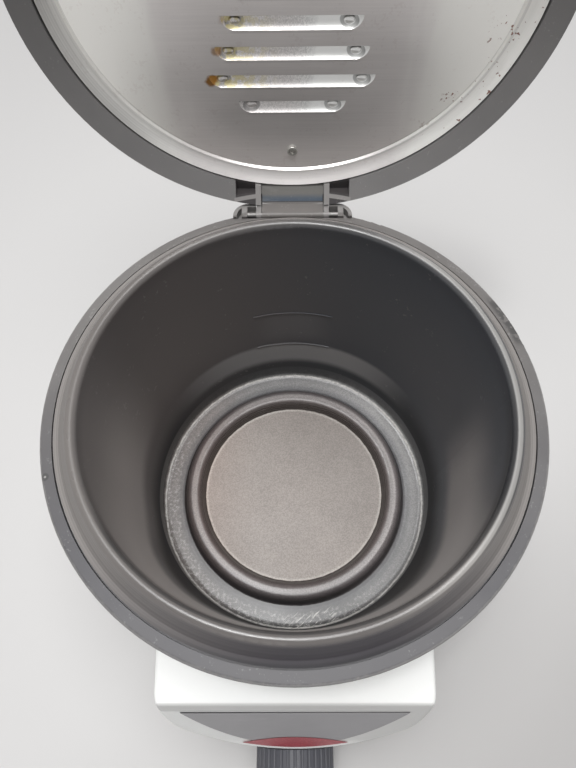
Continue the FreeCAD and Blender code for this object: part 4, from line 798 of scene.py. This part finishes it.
def stainedPlate():
    # brushed steel, darker and grainy along the louvres with a painted bright reflection towards the right,
    # painted shade round the dimples and under the louvres, dried oil and brown spots
    finish = brushedSteel(
        "plateSteel", plateLook["steel"], plateLook["roughness"], (0.02, 1, 1), 0.95, plateLook["metallic"])
    tree = finish.tree
    rows, pitch = plateLook["rows"], plateLook["rowPitch"]
    x, _, z = finish.axes()
    away = finish.value("ABSOLUTE", x)
    patches = noiseNode(tree, finish.place, 330.0, 3.0, 0.6)
    fine = noiseNode(tree, finish.place, 1400.0, 4.0, 0.75)
    upward = finish.minus(z, plateLook["middleHeight"])
    radius = finish.length(x, finish.value("DIVIDE", upward, plateLook["leaning"]))
    colour = platePlain(finish, away, radius, x, z)
    # louvres: which row, how far from its middle and how long it is
    row = finish.value("DIVIDE", finish.minus(z, plateLook["rowHeight"]), pitch)
    whole = finish.value("ROUND", row)
    offRow = finish.minus(row, whole)
    nearEnd = finish.value("MINIMUM", whole, finish.minus(rows - 1, whole))
    half = finish.scaled(nearEnd, -plateLook["shortening"], plateLook["longest"])
    endRow = finish.value("LESS_THAN", nearEnd, 0.5)
    half = finish.scaled(endRow, plateLook["outermost"] - plateLook["longest"], half)
    inset = finish.minus(half, away)
    inRows = finish.band(row, -0.45, rows - 0.55, 0.01)
    # the hollow is straight along its upper edge and round towards its lower corners
    beyond = finish.minus(plateLook["louvreWidth"], inset)
    below = finish.product(finish.minus(0.2303, offRow), pitch)
    reach = finish.length(finish.value("MAXIMUM", beyond, 0.0), below)
    inLouvre = finish.product((reach, 0.0062, 0.0064, 1.0, 0.0), (below, -0.0001, 0.0), inRows)
    # the louvres are grainy and darker, and a painted reflection turns them bright towards the right
    dull = finish.scaled(ramp(tree, fine, 0.35, 0.65), 0.3, 0.7)
    bright = ramp(tree, finish.scaled(patches, 0.008, x), 0.0, 0.017)
    shade = finish.value("MAXIMUM", dull, bright)
    # painted shade: a dark ring round each dimple and a darker tip
    sizeX, _, sizeZ = plateLook["dimple"]
    dimpleX = finish.value("DIVIDE", finish.minus(inset, plateLook["dimpleInset"]), sizeX)
    dimpleZ = finish.value("DIVIDE", finish.product(offRow, pitch), sizeZ)
    moat = finish.band(finish.length(dimpleX, dimpleZ), 1.05, 1.45, 0.2)
    shade = finish.product(shade, finish.scaled(moat, -0.5, 1.0))
    shade = finish.minus(shade, ramp(tree, inset, 0.0035, 0.0015, 0.0, 0.2))
    shade = finish.scaled(finish.minus(shade, 1.0), inLouvre, 1.0)
    colour = finish.mix(finish.product(bright, inLouvre), colour, plateLook["bright"])
    # shadowed edge just under each louvre
    under = finish.product(finish.band(offRow, -0.31, -0.245, 0.03), (inset, 0.003, 0.006), inRows)
    shade = finish.scaled(under, -0.14, shade)
    colour = finish.mix(1.0, colour, shade, "MULTIPLY")
    # dried oil in the left half of the middle louvres
    oilRows = finish.band(row, 0.6, 3.3, 0.1)
    side = finish.product((x, -0.002, -0.03), (finish.plus(x, half), 0.0, 0.001))
    oil = finish.product(inLouvre, oilRows, side, (patches, 0.42, 0.56), 0.75)
    colour = finish.mix(oil, colour, plateLook["residue"])
    for spotX, spotZ, size, strength in plateLook["spots"]:
        ragged = finish.scaled(patches, 0.003, finish.distance(x, spotX, z, spotZ))
        spot = ramp(tree, ragged, size, size + 0.0018, strength, 0.0)
        colour = finish.mix(spot, colour, plateLook["burnt"])
    specks = finish.specks(620.0, 0.42, 0.05)
    nearRim = finish.product((x, 0.06, 0.08), (radius, 0.088, 0.094))
    thinSpecks = finish.product(specks, finish.scaled(nearRim, 0.85, 0.06))
    finish.color(finish.mix(thinSpecks, colour, plateLook["dirt"]))
    return finish


panelPaint = {
    "color": (0.325, 0.318, 0.33),
    "lighter": (0.35, 0.343, 0.355),
    "smear": (0.62, 0.61, 0.62),
    "smearAmount": 0.14,
    "gap": (0.03, 0.03, 0.03),
    "upperEdge": 0.1117,
    "gapWidth": (0.0009, 0.0003),   # at its left and its right end
    "gapAcross": (-0.055, 0.02),
    "roughness": 0.4,
}


def panelGrey():
    # satin panel with smears, and a dark gap that thins out along its upper edge
    finish = Finish("panelGrey", panelPaint["roughness"])
    tree = finish.tree
    x, _, z = finish.axes()
    height, cloud = finish.grain(1400.0, 30.0)
    slanted = stretched(tree, finish.place, (0.35, 1, 1), turn=(0, 0.3, 0))
    smears = noiseNode(tree, slanted, 110.0, 4.0, 0.65, 0.6)
    colour = finish.mix(cloud, panelPaint["color"], panelPaint["lighter"])
    colour = finish.mix((smears, 0.5, 0.72, 0.0, panelPaint["smearAmount"]), colour, panelPaint["smear"])
    gapWidth = ramp(tree, x, *panelPaint["gapAcross"], *panelPaint["gapWidth"])
    gapStart = finish.minus(panelPaint["upperEdge"], gapWidth)
    gap = finish.value("GREATER_THAN", z, gapStart)
    finish.color(finish.mix(gap, colour, panelPaint["gap"]))
    finish.roughness(ramp(tree, smears, 0.4, 0.7, finish.level - 0.04, finish.level + 0.1))
    finish.bump(height, 0.15)
    return finish


lensGlass = {
    "light": (0.46, 0.07, 0.09),
    "dark": (0.36, 0.045, 0.06),
    "facetScale": 650.0,
    "coat": 0.15,
    "coatRoughness": 0.2,
}


def redLens():
    finish = Finish("redLens", 0.3)
    tree = finish.tree
    cells = tree.nodes.new("ShaderNodeTexVoronoi")
    cells.inputs["Scale"].default_value = lensGlass["facetScale"]
    tree.links.new(finish.place, cells.inputs["Vector"])
    facets = cells.outputs["Distance"]
    finish.color(finish.mix((facets, 0.1, 0.6), lensGlass["light"], lensGlass["dark"]))
    finish.surface("Coat Weight", lensGlass["coat"])
    finish.surface("Coat Roughness", lensGlass["coatRoughness"])
    finish.bump(facets, 0.15, 0.0003)
    return finish


def rubber(name, color):
    finish = Finish(name, 0.75)
    height, cloud = finish.grain(1300.0, 40.0)
    finish.color(finish.mix(cloud, color, tuple(c * 1.8 + 0.01 for c in color)))
    finish.bump(height, 0.3, 0.00015)
    return finish


def felt(name, color, darker):
    finish = Finish(name, 0.95, specular=0.2)
    fibres = noiseNode(finish.tree, finish.place, 1400.0, 6.0, 0.75, 0.6)
    tufts = noiseNode(finish.tree, finish.place, 160.0, 3.0, 0.6)
    finish.color(finish.mix((fibres, 0.35, 0.65), darker, color))
    finish.bump(finish.plus(fibres, tufts), 0.7, 0.0006)
    return finish


def clearGlass(name, color, darker):
    finish = Finish(name, 0.08)
    _, cloud = finish.grain(300.0, 60.0)
    finish.color(finish.mix(cloud, color, darker))
    finish.surface("Transmission Weight", 0.7)
    return finish


framePaint = {
    "color": (0.15, 0.145, 0.144),
    "lighter": (0.17, 0.164, 0.162),
    # the pockets' colour is painted shade, also for the crease line; the edge colour is painted highlight
    # on the pockets' edges and on pale patches over the strip; the strip's two colours are painted light
    # and a painted bluish reflection
    "pocket": (0.036, 0.032, 0.033),
    "edge": (0.235, 0.225, 0.22),
    "stripHigh": (0.14, 0.135, 0.126),
    "stripReflection": (0.058, 0.08, 0.11),
    "tongue": (0.15, 0.14, 0.133),
    "dustAmount": 0.14,
    # the zones beside the hinge, by distance from the middle plane and by height
    "stripSide": (0.0172, 0.0174),
    "cheekSide": (0.0176, 0.0204),
    "pocketSide": (0.0204, 0.0312),
    "lowEdgeSide": (0.0204, 0.032),
    "lowEdgeHeight": (0.1959, 0.1973),
    "pocketDepth": (0.1192, 0.1196),
    "hingeTop": (0.2065, 0.205),
    "reflectionTop": (0.1942, 0.1968),
    "tongueHeight": (0.1929, 0.1925),
    "creaseHeight": (0.1926, 0.1929),
}


def hingeFrame():
    # moulded grey lid frame: painted shade in the pockets beside the hinge with painted highlights on their
    # edges, and a strip over the tongue in painted light, with a painted bluish reflection at its lower
    # edge and a painted shadow line in its crease
    finish = Finish("lidFrameGrey", 0.5)
    tree = finish.tree
    x, y, z = finish.axes()
    away = finish.value("ABSOLUTE", x)
    height, cloud = finish.grain()
    patch = noiseNode(tree, stretched(tree, finish.place, (0.35, 1, 1.6)), 140.0, 4.0, 0.65)
    colour = finish.mix(cloud, framePaint["color"], framePaint["lighter"])
    nearHinge = ramp(tree, z, *framePaint["hingeTop"])
    pocketSide = finish.band(away, *framePaint["pocketSide"], 0.0002)
    pocket = finish.product(pocketSide, nearHinge, (y, *framePaint["pocketDepth"]))
    colour = finish.mix(pocket, colour, framePaint["pocket"])
    lowEdge = finish.product(
        finish.band(away, *framePaint["lowEdgeSide"], 0.0002),
        finish.band(z, *framePaint["lowEdgeHeight"], 0.0002))
    cheek = finish.product(finish.band(away, *framePaint["cheekSide"], 0.0001), nearHinge)
    colour = finish.mix(finish.value("MAXIMUM", lowEdge, cheek), colour, framePaint["edge"])
    strip = finish.product((away, *framePaint["stripSide"], 1.0, 0.0), nearHinge)
    paler = ramp(tree, finish.scaled(patch, 0.0016, z), *framePaint["reflectionTop"])
    shaded = finish.mix(paler, framePaint["stripReflection"], framePaint["stripHigh"])
    shaded = finish.mix((patch, 0.5, 0.75, 0.0, 0.5), shaded, framePaint["edge"])
    shaded = finish.mix((z, *framePaint["tongueHeight"]), shaded, framePaint["tongue"])
    crease = finish.band(z, *framePaint["creaseHeight"], 0.0001)
    shaded = finish.mix(finish.product(crease, 0.8), shaded, framePaint["pocket"])
    colour = finish.mix(strip, colour, shaded)
    finish.color(finish.dusty(colour, framePaint["dustAmount"]))
    finish.uneven(cloud)
    finish.bump(height)
    return finish


collarPaint = {
    # darker front and lighter back: painted light
    "front": (0.09, 0.088, 0.095),
    "back": (0.14, 0.132, 0.128),
    "paler": (0.36, 0.35, 0.34),
    "grimeAndShade": (0.05, 0.048, 0.048),
    "dust": (0.6, 0.59, 0.58),
    "dustAmount": 0.16,
    "frontToBack": (-0.09, 0.06),
    "edgeRadius": (0.1193, 0.1203),
    "edgeHeight": (0.1845, 0.187),
    # the grime: where it starts to the right, from front to back, and on the collar's top
    "grimeSide": (0.098, 0.102),
    "grimeDepth": (0.036, 0.056),
    "grimeRadius": (0.1145, 0.117),
    "grimeHeight": (0.186, 0.1885),
    "pit": (-0.1128, -0.0347, 0.0016),      # a small round pit: x, y, radius
}


def collarGrey():
    # moulded grey ring, painted darker at the front and lighter at the back, with a pale ragged outer edge
    # that is partly rubbed wear and partly painted highlight, dust, grime on the right and one small pit
    # drawn with painted shade round a painted pale middle
    finish = Finish("collarGrey", 0.5)
    tree = finish.tree
    radius, x, y, z = finish.radius()
    height, cloud = finish.grain()
    colour = finish.mix((y, *collarPaint["frontToBack"]), collarPaint["front"], collarPaint["back"])
    colour = finish.mix((cloud, 0.0, 1.0, 0.0, 0.1), colour, collarPaint["paler"])
    dust = finish.specks(1100.0, 0.38, 0.08)
    colour = finish.mix(finish.product(dust, collarPaint["dustAmount"]), colour, collarPaint["dust"])
    # the outer edge: pale and ragged, partly rubbed wear and partly painted highlight
    chips = noiseNode(tree, finish.place, 260.0, 5.0, 0.7)
    chipped = ramp(tree, finish.scaled(chips, 0.0016, radius), *collarPaint["edgeRadius"])
    edge = finish.product(chipped, (z, *collarPaint["edgeHeight"]), 0.4)
    colour = finish.mix(edge, colour, collarPaint["paler"])
    grimeSpecks = finish.specks(480.0, 0.85, 0.06)
    right = finish.product(
        (x, *collarPaint["grimeSide"]), finish.band(y, *collarPaint["grimeDepth"], 0.006),
        (radius, *collarPaint["grimeRadius"]), (z, *collarPaint["grimeHeight"]))
    colour = finish.mix(finish.product(grimeSpecks, right, 0.8), colour, collarPaint["grimeAndShade"])
    # the pit: a dark ring of painted shade round a pale middle of painted highlight, over a dent in the
    # bump
    pitX, pitY, pitSize = collarPaint["pit"]
    fromPit = finish.distance(x, pitX, y, pitY)
    pitRim = finish.band(fromPit, pitSize * 0.45, pitSize, pitSize * 0.3)
    colour = finish.mix(finish.product(pitRim, 0.6), colour, collarPaint["grimeAndShade"])
    pitFloor = ramp(tree, fromPit, pitSize * 0.25, pitSize * 0.45, 0.7, 0.0)
    finish.color(finish.mix(pitFloor, colour, collarPaint["paler"]))
    finish.uneven(cloud)
    pitDepth = ramp(tree, fromPit, 0.0, pitSize, -3.0, 0.0)
    finish.bump(finish.plus(height, pitDepth), 0.25, 0.00015)
    return finish


evenly = (1, 1, 1)      # brushed in no direction

finishes = {
    "shell_white": shellWhite(),
    "frame_grey": moulded("frameGrey", (0.165, 0.163, 0.165), (0.18, 0.178, 0.18)),
    "bowl_coating": bowlCoating(),
    "plate_steel": stainedPlate(),
    "panel_grey": panelGrey(),
    "lens_red": redLens(),
    "knob_grey": moulded("knobGrey", (0.058, 0.059, 0.07), (0.074, 0.075, 0.088), 0.5, 1200.0, 0.2),
    "pointer_white": moulded("pointerWhite", (0.8, 0.8, 0.78), (0.85, 0.85, 0.83), 0.4),
    "base_black": moulded("baseBlack", (0.035, 0.035, 0.036), (0.055, 0.055, 0.056), 0.55),
    "soft_rubber": rubber("softRubber", (0.045, 0.045, 0.045)),
    "zinc_steel": brushedSteel("zincSteel", (0.6, 0.59, 0.56), 0.38, evenly),
    "element_steel": brushedSteel("elementSteel", (0.3, 0.28, 0.25), 0.5, evenly),
    "plain_aluminium": brushedSteel("plainAluminium", (0.72, 0.72, 0.72), 0.4, (0.1, 1, 1)),
    "copper_brass": brushedSteel("copperBrass", (0.72, 0.48, 0.26), 0.35, evenly),
    "lamp_glass": clearGlass("lampGlass", (0.95, 0.55, 0.35), (0.8, 0.4, 0.25)),
    "filter_felt": felt("filterFelt", (0.62, 0.6, 0.55), (0.42, 0.4, 0.36)),
}

# nodes that differ from the rest of their slot
ownFinish = {
    "lid_frame": hingeFrame(),
    "collar": collarGrey(),
    "hinge_pins": brushedSteel("pinSteel", (0.22, 0.215, 0.21), 0.5, evenly, 0.7),
}

for part in frame["record"]["subparts"]:
    piece = nodes[part["node"]]
    piece.data.materials.clear()
    finish = ownFinish.get(part["node"], finishes[part["material_slot"]])
    piece.data.materials.append(finish.material)
print("stage: finishes on", len(nodes), "nodes")


def makeDimples():
    # the pressed bump at each end of each louvre
    rows = plateLook["rows"]
    faceDepth, faceHeight = plateLook["face"]
    tilt = math.radians(plateLook["lean"])
    tilted = Matrix.Rotation(-tilt, 3, "X")
    behind = Vector((0, plateLook["dimpleCut"], 0))
    mesh = bmesh.new()
    for index in range(rows):
        nearEnd = min(index, rows - 1 - index)
        half = plateLook["longest"] - plateLook["shortening"] * nearEnd
        if nearEnd == 0:
            half = plateLook["outermost"]
        height = plateLook["rowHeight"] + index * plateLook["rowPitch"]
        depth = faceDepth + (height - faceHeight) * math.tan(tilt) + plateLook["dimpleSink"]
        for side in (-1, 1):
            place = Vector((side * (half - plateLook["dimpleInset"]), depth, height))
            verts = bmesh.ops.create_uvsphere(mesh, u_segments=28, v_segments=16, radius=1.0)["verts"]
            bmesh.ops.scale(mesh, vec=plateLook["dimple"], verts=verts)
            bmesh.ops.rotate(mesh, cent=(0, 0, 0), matrix=tilted, verts=verts)
            bmesh.ops.translate(mesh, vec=place, verts=verts)
            own = set(verts)
            faces = [face for face in mesh.faces if face.verts[0] in own]
            geometry = faces + [edge for face in faces for edge in face.edges] + verts
            cut = bmesh.ops.bisect_plane(
                mesh, geom=list(dict.fromkeys(geometry)), plane_co=place + behind, plane_no=(0, 1, 0),
                clear_outer=True)
            rim = [part for part in cut["geom_cut"] if isinstance(part, bmesh.types.BMEdge)]
            bmesh.ops.holes_fill(mesh, edges=rim)
    bmesh.ops.recalc_face_normals(mesh, faces=mesh.faces)
    piece = makeObject("louvreDimples", mesh, finishes["plate_steel"])
    piece.data.shade_smooth()
    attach(piece, "lid")


makeDimples()
print("stage: louvre dimples made")


# plain heat scale printed round the knob; the pointer starts at the dot and turns clockwise
heatScale = {
    "axisHeight": 0.042,
    "dot": 0.0011,
    "dotPlace": 0.0012,     # the dot's middle beyond the ticks' inner ends
    "tickFrom": 0.0236,
    "tickTo": 0.0258,
    "tickWidth": 0.0008,
    "numberRadius": 0.0302,
    "numberSize": 0.0056,
    "boldness": 0.00012,
    "rise": 0.00006,
    "firstTurn": 60,
    "lastTurn": 270,
    "numbers": (130, 140, 150, 160, 170, 180, 190),
    "ink": (0.06, 0.062, 0.07),
    "rubbedInk": (0.34, 0.34, 0.35),
}


def printInk():
    finish = Finish("scaleInk", 0.45)
    height, cloud = finish.grain(2600.0, 120.0)
    finish.color(finish.mix((height, 0.5, 0.72, 0.0, 0.7), heatScale["ink"], heatScale["rubbedInk"]))
    finish.uneven(cloud, 0.05, 0.1)
    return finish


def makeHeatScale():
    mesh = bmesh.new()
    inFront = -0.3      # ahead of the shell's wall

    def onRing(radius, degrees):
        # a place on the ring, seen from the front, clockwise from the top
        turn = math.radians(degrees)
        return Vector((radius * math.sin(turn), 0, heatScale["axisHeight"] + radius * math.cos(turn)))

    numbers = heatScale["numbers"]
    gap = (heatScale["lastTurn"] - heatScale["firstTurn"]) / (len(numbers) - 1)
    facing = Matrix.Rotation(math.radians(90), 4, "X")
    length = heatScale["tickTo"] - heatScale["tickFrom"]
    for index, number in enumerate(numbers):
        degrees = heatScale["firstTurn"] + index * gap
        middle = onRing((heatScale["tickFrom"] + heatScale["tickTo"]) / 2, degrees)
        tick = bmesh.ops.create_grid(mesh, x_segments=2, y_segments=4, size=0.5)
        turned = Matrix.Translation(middle) @ Matrix.Rotation(math.radians(degrees), 4, "Y") @ facing
        shape = turned @ Matrix.Diagonal((heatScale["tickWidth"], length, 1, 1))
        bmesh.ops.transform(mesh, matrix=shape, verts=tick["verts"])
        curve = bpy.data.curves.new("number", "FONT")
        curve.body = str(number)
        curve.size = heatScale["numberSize"]
        curve.offset = heatScale["boldness"]
        curve.align_x = "CENTER"
        curve.align_y = "CENTER"
        label = bpy.data.objects.new("number", curve)
        flat = bpy.data.meshes.new_from_object(label)
        flat.transform(Matrix.Translation(onRing(heatScale["numberRadius"], degrees)) @ facing)
        mesh.from_mesh(flat)
        bpy.data.objects.remove(label)
    dot = bmesh.ops.create_circle(mesh, cap_ends=True, segments=24, radius=heatScale["dot"])
    dotPlace = onRing(heatScale["tickFrom"] + heatScale["dotPlace"], 0)
    bmesh.ops.transform(mesh, matrix=Matrix.Translation(dotPlace) @ facing, verts=dot["verts"])
    # lay every point on the shell's front
    shell = nodes["outer_shell"].data
    wall = BVHTree.FromPolygons([v.co for v in shell.vertices], [p.vertices for p in shell.polygons])
    for vert in mesh.verts:
        hit = wall.ray_cast(Vector((vert.co.x, inFront, vert.co.z)), Vector((0, 1, 0)))[0]
        vert.co.y = hit.y - heatScale["rise"]
    faces = list(mesh.faces)
    bmesh.ops.recalc_face_normals(mesh, faces=faces)
    if sum(face.normal.y * face.calc_area() for face in faces) > 0:
        bmesh.ops.reverse_faces(mesh, faces=faces)
    piece = makeObject("heatScale", mesh, printInk())
    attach(piece, "housing")


makeHeatScale()
print("stage: heat scale printed")
